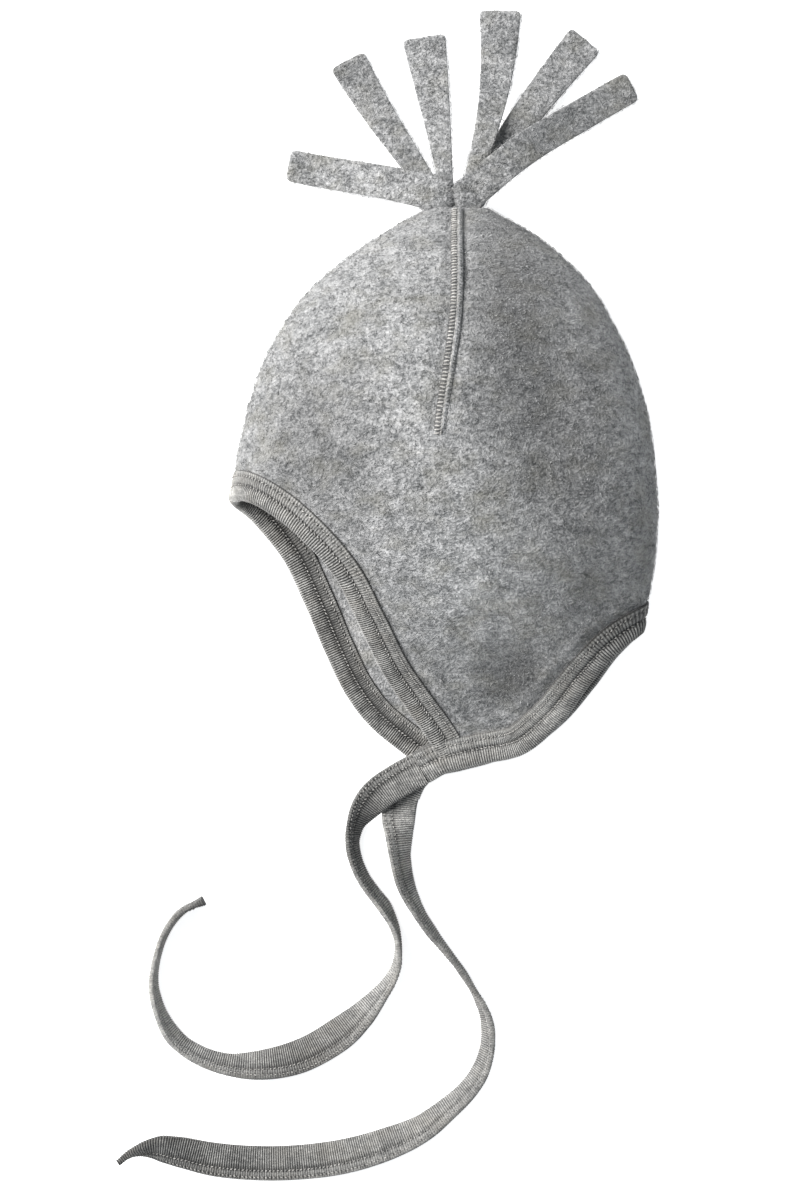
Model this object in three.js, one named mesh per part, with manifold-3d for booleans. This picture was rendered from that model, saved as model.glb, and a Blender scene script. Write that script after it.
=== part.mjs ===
// A baby hat of wool fleece with ear flaps, bound edges, ties and a tuft of six strips.
// It lies on its side as it was laid out: the near side up, the far side flat underneath.
// Millimetres. +X is the back of the hat, +Y its crown, +Z up from the surface that it lies on.
// The origin is on that surface, under the middle of the hat at brow level.
import * as THREE from 'three';
import Module from 'manifold-3d';
import { LoftGeometry } from 'three/addons/geometries/LoftGeometry.js';
import { mergeVertices } from 'three/addons/utils/BufferGeometryUtils.js';

// Sizes of the hat.
const HALF_DEPTH = 92;
const CROWN_HEIGHT = 124;
const FLAP_DROP = 121;
const LYING_HEIGHT = 76;
const FLEECE = 2;

// Sizes of the rib-knit tape that binds the edges and makes the ties.
const BINDING_WIDTH = 15.5;
const BINDING_WALL = 1.2;
const TIE_WIDTH = 15.5;
const TIE_THICKNESS = 3.2;

// Sizes of the dart seam and of the tuft.
const SEAM_WIDTH = 5.5;
const SEAM_RISE = 1.2;
const STRIP_THICKNESS = 2.2;
const STRIP_LENGTH = 76;
const STRIP_WIDTH = 18;
const HEAD_RISE = 9;

// The gap between two pieces that touch, and the looser one between a binding and its fleece.
const GAP = 0.3;
const BINDING_EASE = 0.8;

// How many meridians the two edges have, and how many rings the body has.
const FACE_STEPS = 38;
const NECK_STEPS = 35;
const RINGS = 17;
const CORNER_STEPS = 2;

// How much closer the meridians stand where the hat turns round its folds.
const FOLD_CLOSER = 4;

// Sections of the hat, from below the flap tips to the crown. Rise is a share of the flap drop
// below brow level and of the crown height above it. Front, back and peak are shares of the half
// depth, and the last four are heights above the floor as shares of the lying height.
const SECTIONS = [
  { rise: -1.14, front: -0.80, back: 0.74, peak: 0.06,
    frontFold: 0.05, backFold: 0.08, crest: 0.11, under: 0 },
  { rise: -1.00, front: -0.82, back: 0.78, peak: 0.06,
    frontFold: 0.06, backFold: 0.10, crest: 0.155, under: 0 },
  { rise: -0.74, front: -0.89, back: 0.87, peak: 0.06,
    frontFold: 0.09, backFold: 0.16, crest: 0.35, under: 0 },
  { rise: -0.51, front: -0.93, back: 0.93, peak: 0.06,
    frontFold: 0.13, backFold: 0.25, crest: 0.60, under: 0 },
  { rise: -0.31, front: -1.00, back: 0.98, peak: 0.05,
    frontFold: 0.18, backFold: 0.33, crest: 0.82, under: 0 },
  { rise: -0.11, front: -1.04, back: 0.995, peak: 0.05,
    frontFold: 0.24, backFold: 0.38, crest: 0.96, under: 0 },
  { rise: 0.05, front: -1.02, back: 0.985, peak: 0.05,
    frontFold: 0.29, backFold: 0.39, crest: 1.00, under: 0 },
  { rise: 0.24, front: -0.97, back: 0.955, peak: 0.05,
    frontFold: 0.35, backFold: 0.39, crest: 0.985, under: 0 },
  { rise: 0.435, front: -0.885, back: 0.88, peak: 0.05,
    frontFold: 0.36, backFold: 0.38, crest: 0.93, under: 0 },
  { rise: 0.594, front: -0.775, back: 0.78, peak: 0.05,
    frontFold: 0.34, backFold: 0.35, crest: 0.85, under: 0 },
  { rise: 0.70, front: -0.665, back: 0.695, peak: 0.05,
    frontFold: 0.31, backFold: 0.32, crest: 0.75, under: 0.01 },
  { rise: 0.806, front: -0.505, back: 0.575, peak: 0.05,
    frontFold: 0.28, backFold: 0.28, crest: 0.62, under: 0.035 },
  { rise: 0.914, front: -0.30, back: 0.40, peak: 0.05,
    frontFold: 0.24, backFold: 0.24, crest: 0.44, under: 0.08 },
  { rise: 1.00, front: -0.10, back: 0.20, peak: 0.05,
    frontFold: 0.20, backFold: 0.20, crest: 0.27, under: 0.13 },
];

// The underside below brow level keeps the full front of the hat, which lies on the floor.
const UNDER_FRONT = -1.04;
const UNDER_FRONT_FROM = -0.11;

// How sharply the underside turns from the fold down to the floor.
const UNDER_TURN = 1.15;
const UNDER_CURVE = 1.5;

// The finished edge round the face, from the near flap tip over the brow to the far flap tip.
// Side is 1 on the near layer and -1 on the far one, x is a share of the half depth.
const FACE_EDGE = [
  { side: 1, x: -0.036, rise: -1.04 },
  { side: 1, x: -0.114, rise: -0.93 },
  { side: 1, x: -0.22, rise: -0.813 },
  { side: 1, x: -0.35, rise: -0.657 },
  { side: 1, x: -0.458, rise: -0.481 },
  { side: 1, x: -0.551, rise: -0.337 },
  { side: 1, x: -0.677, rise: -0.223 },
  { side: 1, x: -0.82, rise: -0.129 },
  { side: 1, x: -0.944, rise: -0.076 },
  { side: 1, x: -1.04, rise: -0.061 },
  { side: -1, x: -0.98, rise: -0.10 },
  { side: -1, x: -0.91, rise: -0.155 },
  { side: -1, x: -0.80, rise: -0.262 },
  { side: -1, x: -0.695, rise: -0.428 },
  { side: -1, x: -0.602, rise: -0.595 },
  { side: -1, x: -0.494, rise: -0.762 },
  { side: -1, x: -0.382, rise: -0.874 },
  { side: -1, x: -0.205, rise: -0.985 },
  { side: -1, x: -0.08, rise: -1.055 },
];

// The finished edge round the neck, from the near flap tip over the nape to the far flap tip.
const NECK_EDGE = [
  { side: 1, x: -0.084, rise: -1.085 },
  { side: 1, x: 0.013, rise: -1.045 },
  { side: 1, x: 0.158, rise: -1.017 },
  { side: 1, x: 0.37, rise: -0.98 },
  { side: 1, x: 0.546, rise: -0.867 },
  { side: 1, x: 0.704, rise: -0.701 },
  { side: 1, x: 0.821, rise: -0.598 },
  { side: 1, x: 0.926, rise: -0.537 },
  { side: -1, x: 0.84, rise: -0.612 },
  { side: -1, x: 0.722, rise: -0.732 },
  { side: -1, x: 0.576, rise: -0.862 },
  { side: -1, x: 0.405, rise: -0.959 },
  { side: -1, x: 0.21, rise: -1.015 },
  { side: -1, x: 0.039, rise: -1.048 },
  { side: -1, x: -0.043, rise: -1.063 },
  { side: -1, x: -0.103, rise: -1.10 },
  { side: -1, x: -0.136, rise: -1.15 },
];

// Soft dents of the near side: place and reach as shares of the half depth, depth as a share of
// the lying height. A negative depth is a ridge, and turn leans the dent in degrees.
const DENTS = [
  { x: -0.66, y: 0.36, across: 0.17, along: 0.36, depth: 0.045, turn: 12 },
  { x: -0.20, y: 0.50, across: 0.15, along: 0.45, depth: -0.03, turn: 4 },
  { x: 0.46, y: 0.36, across: 0.20, along: 0.52, depth: 0.04, turn: -8 },
  { x: 0.30, y: -0.86, across: 0.13, along: 0.10, depth: 0.03, turn: 0 },
  { x: 0.26, y: -1.06, across: 0.18, along: 0.09, depth: 0.03, turn: 0 },
  { x: 0.72, y: -0.48, across: 0.16, along: 0.20, depth: 0.035, turn: 30 },
  { x: -0.22, y: -0.42, across: 0.14, along: 0.34, depth: -0.02, turn: 28 },
];

// The dart from the crown end down each side, as shares of the half depth and crown height.
const DART = [
  { x: 0.045, rise: 0.99 },
  { x: 0.040, rise: 0.866 },
  { x: 0.037, rise: 0.712 },
  { x: 0.026, rise: 0.566 },
  { x: -0.003, rise: 0.407 },
  { x: -0.032, rise: 0.267 },
  { x: -0.050, rise: 0.161 },
];
// The far dart stops a little higher.
const FAR_DART_END = { x: -0.046, rise: 0.190 };
const DART_STEPS = 15;

// The fleece is lifted a little where the far dart and the far bindings lie under it: how far the
// lift reaches to the sides of the dart, past its lower end, and in from the bindings' edges.
const DART_BED_REACH = 20;
const DART_BED_END = 6;
const EDGE_BED_REACH = 45;

// Routes of the two ties along their middle, point by point. Lift is the clear height under the
// tape, and roll turns it about its route: 0 lies flat, 90 stands on edge, 180 lies turned over.
const NEAR_TIE = [
  { x: -12.2, y: -124.9, lift: 6.4, roll: 0 },
  { x: -16.5, y: -127.2, lift: 6.2, roll: 0 },
  { x: -22.5, y: -130.6, lift: 6.3, roll: 2 },
  { x: -30, y: -135.6, lift: 5.9, roll: 8 },
  { x: -36.5, y: -142.3, lift: 3.1, roll: 34 },
  { x: -41, y: -150, lift: 0, roll: 62 },
  { x: -42.5, y: -158, lift: 0, roll: 74 },
  { x: -41, y: -166, lift: 0, roll: 75 },
  { x: -37.5, y: -174, lift: 0, roll: 76 },
  { x: -33, y: -180.5, lift: 0, roll: 76 },
  { x: -28, y: -187, lift: 0, roll: 76 },
  { x: -24, y: -195, lift: 0, roll: 84 },
  { x: -22, y: -203.5, lift: 0, roll: 90 },
  { x: -22.2, y: -211.5, lift: 0, roll: 96 },
  { x: -25.2, y: -219, lift: 0, roll: 102 },
  { x: -31, y: -227, lift: 0, roll: 113 },
  { x: -39, y: -236, lift: 0, roll: 133 },
  { x: -51, y: -246, lift: 0, roll: 160 },
  { x: -66, y: -254, lift: 0, roll: 158 },
  { x: -83, y: -257.5, lift: 0, roll: 136 },
  { x: -99, y: -257, lift: 0, roll: 115 },
  { x: -113, y: -252, lift: 0, roll: 107 },
  { x: -122.5, y: -244.5, lift: 0, roll: 106 },
  { x: -128.5, y: -234, lift: 0, roll: 98 },
  { x: -131.5, y: -222, lift: 0, roll: 93 },
  { x: -130, y: -209, lift: 0, roll: 91 },
  { x: -125.5, y: -197, lift: 0, roll: 92 },
  { x: -119, y: -189, lift: 0, roll: 92 },
  { x: -109, y: -184, lift: 0, roll: 92 },
];
const FAR_TIE = [
  { x: -20.4, y: -137.4, lift: 1.1, roll: 0 },
  { x: -21.2, y: -141, lift: 0.6, roll: 3 },
  { x: -21.7, y: -147, lift: 0, roll: 14 },
  { x: -21.5, y: -154, lift: 0, roll: 38 },
  { x: -21, y: -165, lift: 0, roll: 57 },
  { x: -18.5, y: -177, lift: 0, roll: 63 },
  { x: -13.5, y: -188, lift: 0, roll: 76 },
  { x: -7.8, y: -197, lift: 0, roll: 80 },
  { x: -1, y: -206, lift: 0, roll: 87 },
  { x: 4.8, y: -213.5, lift: 0, roll: 90 },
  { x: 9.8, y: -221, lift: 0, roll: 91 },
  { x: 14.6, y: -229, lift: 0, roll: 99 },
  { x: 17.8, y: -237.5, lift: 0, roll: 103 },
  { x: 18.3, y: -246, lift: 0, roll: 106 },
  { x: 17, y: -254, lift: 0, roll: 109 },
  { x: 13.8, y: -262, lift: 0, roll: 112 },
  { x: 8.2, y: -269.6, lift: 0, roll: 113 },
  { x: 0.2, y: -277, lift: 0, roll: 118 },
  { x: -11.4, y: -286, lift: 0, roll: 130 },
  { x: -28, y: -293.5, lift: 0, roll: 148 },
  { x: -46, y: -299, lift: 0, roll: 162 },
  { x: -66, y: -302, lift: 0, roll: 176 },
  { x: -86, y: -302.5, lift: 0, roll: 180 },
  { x: -105.5, y: -300.5, lift: 0, roll: 187 },
  { x: -119, y: -297.2, lift: 0, roll: 200 },
  { x: -129, y: -295.2, lift: 0, roll: 216 },
  { x: -135.5, y: -295.4, lift: 0, roll: 230 },
  { x: -142, y: -297.5, lift: 0, roll: 246 },
  { x: -147, y: -301.2, lift: 0, roll: 258 },
];
const TIE_STATIONS = 54;

// Strips of the tuft, each from its root at the crown end. Heading is the way it points, in
// degrees from +X, and bend is how far it turns by its tip. Root places are shares of the half
// depth, widths of the strip width, lengths of the strip length. Hump is the height of its arch
// over a straight line from root to tip as a share of the lying height, and lean tips it sideways.
const FRONT_STRIPS = [
  { root: -0.045, start: 0.96, heading: 168, bend: 3,
    length: 0.91, rootWidth: 0.8, width: 0.84, hump: 0.02, lean: 12 },
  { root: -0.04, start: 0.42, heading: 125, bend: 1,
    length: 1.01, rootWidth: 0.62, width: 0.98, hump: 0.02, lean: -6 },
  { root: -0.027, start: 0.3, heading: 97, bend: 2,
    length: 0.99, rootWidth: 0.42, width: 1.02, hump: 0.03, lean: 0 },
];
const BACK_STRIPS = [
  { root: 0.082, start: 0.3, heading: 80, bend: 7,
    length: 1.17, rootWidth: 0.55, width: 1.02, hump: 0.05, lean: 0 },
  { root: 0.135, start: 0.3, heading: 57, bend: -9,
    length: 1.18, rootWidth: 0.62, width: 0.98, hump: 0.0, lean: 6 },
  { root: 0.12, start: 0.7, heading: 36, bend: -11,
    length: 1.16, rootWidth: 0.85, width: 0.76, hump: 0.1, lean: -10 },
];
const STRIP_STATIONS = 9;
const STRIP_ROOT_Z = 15;

// How the materials look.
const FLEECE_GREY = 0x9a9896;
const TAPE_GREY = 0x8a8883;
const THREAD_GREY = 0xa9a7a6;

const radians = THREE.MathUtils.degToRad;
const clamp = THREE.MathUtils.clamp;
const UP = new THREE.Vector3(0, 0, 1);

// Every named column of a table as a smooth function of its key column, which rises row by row.
function smoothRows(rows, key) {
  const names = Object.keys(rows[0]).filter((name) => name !== key);
  const slope = (name, i) => {
    const before = rows[Math.max(i - 1, 0)];
    const after = rows[Math.min(i + 1, rows.length - 1)];
    return (after[name] - before[name]) / (after[key] - before[key]);
  };
  return (at) => {
    let i = 0;
    while (i < rows.length - 2 && at > rows[i + 1][key]) i += 1;
    const [a, b] = [rows[i], rows[i + 1]];
    const span = b[key] - a[key];
    const t = clamp((at - a[key]) / span, 0, 1);
    const ease = t * t * (3 - 2 * t);
    const values = {};
    for (const name of names) {
      const leave = slope(name, i) * span * t * (1 - t) * (1 - t);
      const arrive = slope(name, i + 1) * span * t * t * (1 - t);
      values[name] = a[name] + (b[name] - a[name]) * ease + leave - arrive;
    }
    return values;
  };
}

const sectionAt = smoothRows(SECTIONS, 'rise');
const dartAt = smoothRows([...DART].reverse(), 'rise');

// Height along the hat from a rise, and back again.
const heightOf = (rise) => rise * (rise > 0 ? CROWN_HEIGHT : FLAP_DROP);
const riseOf = (y) => y / (y > 0 ? CROWN_HEIGHT : FLAP_DROP);

// The far layer's front at a rise: the fold above the brow, and the full front below it.
const underFront = (rise, front) => (rise < UNDER_FRONT_FROM ? UNDER_FRONT : front);

// How far the soft dents lower the near side at a place.
function dentAt(x, y) {
  let sum = 0;
  for (const dent of DENTS) {
    const turn = radians(dent.turn);
    const dx = x / HALF_DEPTH - dent.x;
    const dy = y / HALF_DEPTH - dent.y;
    const across = (dx * Math.cos(turn) + dy * Math.sin(turn)) / dent.across;
    const along = (dy * Math.cos(turn) - dx * Math.sin(turn)) / dent.along;
    sum += dent.depth * Math.exp(-across * across - along * along);
  }
  return sum * LYING_HEIGHT;
}

// A soft bump: one in the middle, and flat and zero from a distance of one outwards.
const bump = (distance) => Math.max(0, 1 - distance * distance) ** 2;

// A smooth step from zero to one.
const ease = (t) => THREE.MathUtils.smoothstep(t, 0, 1);

// The angle about the head and the height of an edge row. The far layer counts on below zero
// round the face and on past the nape round the neck.
function edgePlace(row, past) {
  const at = sectionAt(row.rise);
  const front = row.side > 0 ? at.front : underFront(row.rise, at.front);
  const reach = row.x < at.peak ? at.peak - front : at.back - at.peak;
  const angle = THREE.MathUtils.radToDeg(Math.acos(clamp((at.peak - row.x) / reach, -1, 1)));
  return { around: row.side > 0 ? angle : past - angle, y: heightOf(row.rise) };
}

// An edge as a smooth curve of places.
function edgeCurve(rows, past) {
  const places = rows.map((row) => edgePlace(row, past));
  return new THREE.CatmullRomCurve3(places.map((place) => new THREE.Vector3(place.around, place.y, 0)));
}

const FACE_PAST = 0;
const NECK_PAST = 360;
const faceCurve = edgeCurve(FACE_EDGE, FACE_PAST);
const neckCurve = edgeCurve(NECK_EDGE, NECK_PAST);

// The far layer's finished edge as rows of angle and height, to lay the fleece on its binding.
const farNeck = neckCurve.getPoints(60).filter((place) => place.x > 180);
const farFace = faceCurve.getPoints(60).filter((place) => place.x < 0);
const farEdge = [...farNeck, ...farFace.map((place) => place.setX(place.x + 360)).reverse()];

// How far the far bindings lift the fleece near its edge.
function edgeBed(around, y) {
  const angle = (around + 360) % 360;
  let i = farEdge.findIndex((place) => place.x > angle);
  if (i < 0) i = farEdge.length - 1;
  const [a, b] = [farEdge[Math.max(i - 1, 0)], farEdge[i]];
  const share = b.x > a.x ? clamp((angle - a.x) / (b.x - a.x), 0, 1) : 0;
  const above = y - (a.y + (b.y - a.y) * share);
  return (BINDING_WALL + BINDING_EASE) * ease(2 - above / EDGE_BED_REACH);
}

// How far the far dart lifts the fleece over it.
function dartBed(x, y) {
  const off = (x - dartAt(riseOf(y)).x * HALF_DEPTH) / DART_BED_REACH;
  const past = Math.max(0, heightOf(FAR_DART_END.rise) - SEAM_WIDTH - y) / DART_BED_END;
  return (SEAM_RISE + 6 * GAP) * bump(off) * bump(past);
}

// A point of the hat's outer surface. Around is the angle about the head: 0 at the brow fold,
// 90 on the near side, 180 at the nape fold and 270 on the far side.
function surface(around, y) {
  const at = sectionAt(riseOf(y));
  const [cosine, sine] = [Math.cos(radians(around)), Math.sin(radians(around))];
  const front = sine < 0 ? underFront(riseOf(y), at.front) : at.front;
  const reach = cosine > 0 ? front - at.peak : at.peak - at.back;
  const x = (at.peak + reach * cosine) * HALF_DEPTH;
  const fold = THREE.MathUtils.lerp(at.backFold, at.frontFold, (1 + cosine) / 2) * LYING_HEIGHT;
  if (sine >= 0) {
    const z = fold + (at.crest * LYING_HEIGHT - fold) * sine;
    return new THREE.Vector3(x, y, z - dentAt(x, y) * Math.min(1, 2 * sine));
  }
  const turn = Math.max(0, 1 + UNDER_TURN * sine) ** UNDER_CURVE;
  const floor = Math.max(at.under * LYING_HEIGHT, 0);
  const bed = (edgeBed(around, y) + dartBed(x, y)) * (1 - turn);
  return new THREE.Vector3(x, y, floor + (fold - floor) * turn + bed);
}

// The two directions along the surface at a place, and the way out of it.
function frameAt(place) {
  const turn = 0.2;
  const rise = 0.2;
  const along = surface(place.around + turn, place.y).sub(surface(place.around - turn, place.y));
  const up = surface(place.around, place.y + rise).sub(surface(place.around, place.y - rise));
  along.divideScalar(2 * turn);
  up.divideScalar(2 * rise);
  return { along, up, out: along.clone().cross(up).normalize() };
}

// The place that is some distance away along the surface.
function walk(place, direction, distance) {
  const steps = Math.max(1, Math.ceil(Math.abs(distance) / 2));
  const way = direction.clone();
  let here = place;
  for (let i = 0; i < steps; i += 1) {
    const { along, up, out } = frameAt(here);
    way.addScaledVector(out, -way.dot(out)).normalize().multiplyScalar(distance / steps);
    const [a, b, c] = [along.dot(along), along.dot(up), up.dot(up)];
    const [p, q] = [along.dot(way), up.dot(way)];
    const area = a * c - b * b;
    here = { around: here.around + (c * p - b * q) / area, y: here.y + (a * q - b * p) / area };
    way.normalize();
  }
  return here;
}

// A point at some height off the surface.
function offSurface(place, height) {
  return surface(place.around, place.y).addScaledVector(frameAt(place).out, height);
}

// Places spaced along an edge, each with its direction along the edge and into the fleece, which
// is on its left where turn is 1 and on its right where turn is -1.
function edgeStations(curve, steps, turn) {
  const fine = curve.getPoints(400);
  const points = fine.map((place) => surface(place.x, place.y));
  const run = [0];
  for (let i = 1; i < points.length; i += 1) {
    const closer = 1 + FOLD_CLOSER * Math.cos(radians(fine[i].x)) ** 8;
    run.push(run[i - 1] + points[i].distanceTo(points[i - 1]) * closer);
  }
  const stations = [];
  for (let k = 0; k <= steps; k += 1) {
    const target = (run.at(-1) * k) / steps;
    let i = 1;
    while (i < run.length - 1 && run[i] < target) i += 1;
    const share = clamp((target - run[i - 1]) / (run[i] - run[i - 1]), 0, 1);
    const place = fine[i - 1].clone().lerp(fine[i], share);
    const before = points[Math.max(i - 5, 0)];
    const after = points[Math.min(i + 4, points.length - 1)];
    const station = { around: place.x, y: place.y, ahead: after.clone().sub(before).normalize() };
    const { out } = frameAt(station);
    station.inward = out.clone().cross(station.ahead).multiplyScalar(turn).normalize();
    stations.push(station);
  }
  return stations;
}

const faceStations = edgeStations(faceCurve, FACE_STEPS, -1);
const neckStations = edgeStations(neckCurve, NECK_STEPS, 1);

// The middle of a section.
function middleOf(section) {
  const sum = new THREE.Vector3();
  section.forEach((point) => sum.add(point));
  return sum.divideScalar(section.length);
}

// Whether a section winds the right way about the loft that goes on from it to the next one.
function windsForward(section, next) {
  const normal = new THREE.Vector3();
  section.forEach((point, i) => normal.add(point.clone().cross(section[(i + 1) % section.length])));
  return normal.dot(middleOf(next).sub(middleOf(section))) > 0;
}

// A closed body through its sections, with its faces turned outwards. Its ends are flat caps, or
// rounded fans to the middle of a section that has straight stretches.
function closedBody(sections, fans = false) {
  const forward = windsForward(sections[0], sections[1]);
  const wound = forward ? sections : sections.map((section) => [...section].reverse());
  const point = (section) => section.map(() => middleOf(section));
  const rows = fans ? [point(wound[0]), ...wound, point(wound.at(-1))] : wound;
  const loft = new LoftGeometry(rows, { capStart: !fans, capEnd: !fans });
  const geometry = new THREE.BufferGeometry();
  geometry.setAttribute('position', loft.attributes.position);
  geometry.setIndex(loft.index);
  const merged = mergeVertices(geometry, 1e-5);
  const corners = Array.from(merged.index.array);
  const faces = [];
  for (let i = 0; i < corners.length; i += 3) {
    const [a, b, c] = corners.slice(i, i + 3);
    if (a !== b && b !== c && c !== a) faces.push(a, b, c);
  }
  merged.setIndex(faces);
  return merged;
}

const wasm = await Module();
wasm.setup();

// Conversions between a geometry and a solid that can be joined and cut.
function toSolid(geometry) {
  const vertProperties = new Float32Array(geometry.attributes.position.array);
  const triVerts = new Uint32Array(geometry.index.array);
  return new wasm.Manifold(new wasm.Mesh({ numProp: 3, vertProperties, triVerts }));
}
function toGeometry(solid) {
  const mesh = solid.getMesh();
  const geometry = new THREE.BufferGeometry();
  geometry.setAttribute('position', new THREE.BufferAttribute(new Float32Array(mesh.vertProperties), 3));
  geometry.setIndex(new THREE.BufferAttribute(new Uint32Array(mesh.triVerts), 1));
  return geometry;
}

// The fleece body: rings from the crown end down to the raw edge outside, and back up inside.
function hatBody() {
  const inset = BINDING_WALL + BINDING_EASE;
  const middle = neckStations.slice(CORNER_STEPS, NECK_STEPS + 1 - CORNER_STEPS).reverse();
  const edge = [...faceStations, ...middle].map((station) => walk(station, station.inward, inset));
  const ring = (share, height) => {
    const top = height < 0 ? CROWN_HEIGHT - FLEECE : CROWN_HEIGHT;
    return edge.map((place) => {
      const y = top + (place.y - top) * share ** 1.2;
      if (share === 0 && height === 0) return surface(place.around, y);
      return offSurface({ around: place.around, y }, height);
    });
  };
  const outside = Array.from({ length: RINGS + 1 }, (_, i) => ring(i / RINGS, 0));
  const inside = Array.from({ length: RINGS + 1 }, (_, i) => ring(1 - i / RINGS, -FLEECE));
  return closedBody([...outside, ...inside], true);
}

// Points across a binding, from its open end round the fold and back: how far in from the
// finished edge, and how far off the fleece's middle as a share of the outer or inner half height.
const ACROSS = [1, 0.75, 0.5, 0.25];
const OUTER_HALF = FLEECE / 2 + BINDING_EASE + BINDING_WALL;
const INNER_HALF = FLEECE / 2 + BINDING_EASE;
const BINDING_PROFILE = [
  ...ACROSS.map((share) => ({ inward: share * BINDING_WIDTH, off: OUTER_HALF })),
  { inward: 0.35 * OUTER_HALF, off: 0.8 * OUTER_HALF },
  { inward: 0, off: 0 },
  { inward: 0.35 * OUTER_HALF, off: -0.8 * OUTER_HALF },
  ...[...ACROSS].reverse().map((share) => ({ inward: share * BINDING_WIDTH, off: -OUTER_HALF })),
  ...ACROSS.map((share) => ({ inward: share * BINDING_WIDTH, off: -INNER_HALF })),
  { inward: BINDING_WALL, off: -INNER_HALF },
  { inward: BINDING_WALL, off: INNER_HALF },
  ...[...ACROSS].reverse().map((share) => ({ inward: share * BINDING_WIDTH, off: INNER_HALF })),
];

// The outline that the neck binding takes up, with the gap that its neighbours keep.
const CLEAR_HALF = OUTER_HALF + GAP;
const CLEAR_PROFILE = [
  ...[1, 0.5].map((share) => ({ inward: share * (BINDING_WIDTH + GAP), off: CLEAR_HALF })),
  { inward: -2 * GAP, off: CLEAR_HALF },
  { inward: -2 * GAP, off: -CLEAR_HALF },
  ...[0.5, 1].map((share) => ({ inward: share * (BINDING_WIDTH + GAP), off: -CLEAR_HALF })),
];

// One section of a binding across its edge.
function bindingSection(station, profile) {
  return profile.map(({ inward, off }) => {
    const place = walk(station, station.inward, inward);
    return offSurface(place, off - FLEECE / 2);
  });
}

const bindingSections = (stations, profile) => stations.map((station) => bindingSection(station, profile));

// A section moved on along its edge, past the end of the edge.
function movedOn(section, ahead, distance) {
  return section.map((point) => point.clone().addScaledVector(ahead, distance));
}

// The face binding runs from flap tip to flap tip and stops against the neck binding.
function faceBinding() {
  const clear = bindingSections(neckStations, CLEAR_PROFILE);
  const past = BINDING_WIDTH;
  const cutter = [
    movedOn(clear[0], neckStations[0].ahead, -past),
    ...clear,
    movedOn(clear.at(-1), neckStations.at(-1).ahead, past),
  ];
  const whole = toSolid(closedBody(bindingSections(faceStations, BINDING_PROFILE)));
  return toGeometry(whole.subtract(toSolid(closedBody(cutter))));
}

const neckBinding = () => closedBody(bindingSections(neckStations, BINDING_PROFILE));

// A raised seam along the dart, on the near side or the far one.
function dartSeam(side) {
  const rows = side > 0 ? DART : [...DART.slice(0, -1), FAR_DART_END];
  const curve = edgeCurve(rows.map((row) => ({ ...row, side })), NECK_PAST);
  const half = SEAM_WIDTH / 2;
  const base = 2.5 * GAP;
  const profile = [
    [-half, base], [half, base], [half, base + SEAM_RISE / 2],
    [0.6 * half, base + SEAM_RISE], [-0.6 * half, base + SEAM_RISE], [-half, base + SEAM_RISE / 2],
  ];
  return closedBody(edgeStations(curve, DART_STEPS, 1).map((station) => {
    const { out } = frameAt(station);
    const across = out.clone().cross(station.ahead).normalize();
    const middle = surface(station.around, station.y);
    return profile.map(([aside, off]) => {
      const point = middle.clone().addScaledVector(across, aside);
      return point.addScaledVector(out, off);
    });
  }));
}

// The section of a flat strip: a thin rectangle with softened corners.
function flatSection(middle, across, out, width, thickness) {
  const soft = Math.min(thickness / 4, width / 4);
  const [w, t] = [width / 2, thickness / 2];
  const corners = [
    [-w + soft, -t], [w - soft, -t], [w, -t + soft], [w, t - soft],
    [w - soft, t], [-w + soft, t], [-w, t - soft], [-w, -t + soft],
  ];
  return corners.map(([a, b]) => middle.clone().addScaledVector(across, a).addScaledVector(out, b));
}

// A tie along its route, rolled about it, with its end tapered or thickened.
function tie(route, end) {
  const points = new THREE.CatmullRomCurve3(route.map((row) => new THREE.Vector3(row.x, row.y, 0)));
  const turns = new THREE.CatmullRomCurve3(route.map((row) => new THREE.Vector3(row.lift, row.roll, 0)));
  const length = points.getLength();
  const sections = [];
  for (let k = 0; k <= TIE_STATIONS; k += 1) {
    const share = k / TIE_STATIONS;
    const left = clamp(((1 - share) * length) / end.reach, 0, 1);
    const width = TIE_WIDTH * THREE.MathUtils.lerp(end.width, 1, ease(left));
    const thickness = TIE_THICKNESS * THREE.MathUtils.lerp(end.thickness, 1, ease(left));
    const middle = points.getPoint(share);
    const turn = turns.getPoint(share);
    const roll = radians(turn.y);
    const right = points.getTangent(share).cross(UP).normalize();
    const across = right.clone().multiplyScalar(Math.cos(roll)).addScaledVector(UP, Math.sin(roll));
    const out = right.multiplyScalar(-Math.sin(roll)).addScaledVector(UP, Math.cos(roll));
    const half = (TIE_WIDTH * Math.abs(across.z) + TIE_THICKNESS * Math.abs(out.z)) / 2;
    middle.z = Math.max(turn.x, 0) + half;
    sections.push(flatSection(middle, across, out, width, thickness));
  }
  return closedBody(sections);
}

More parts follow.
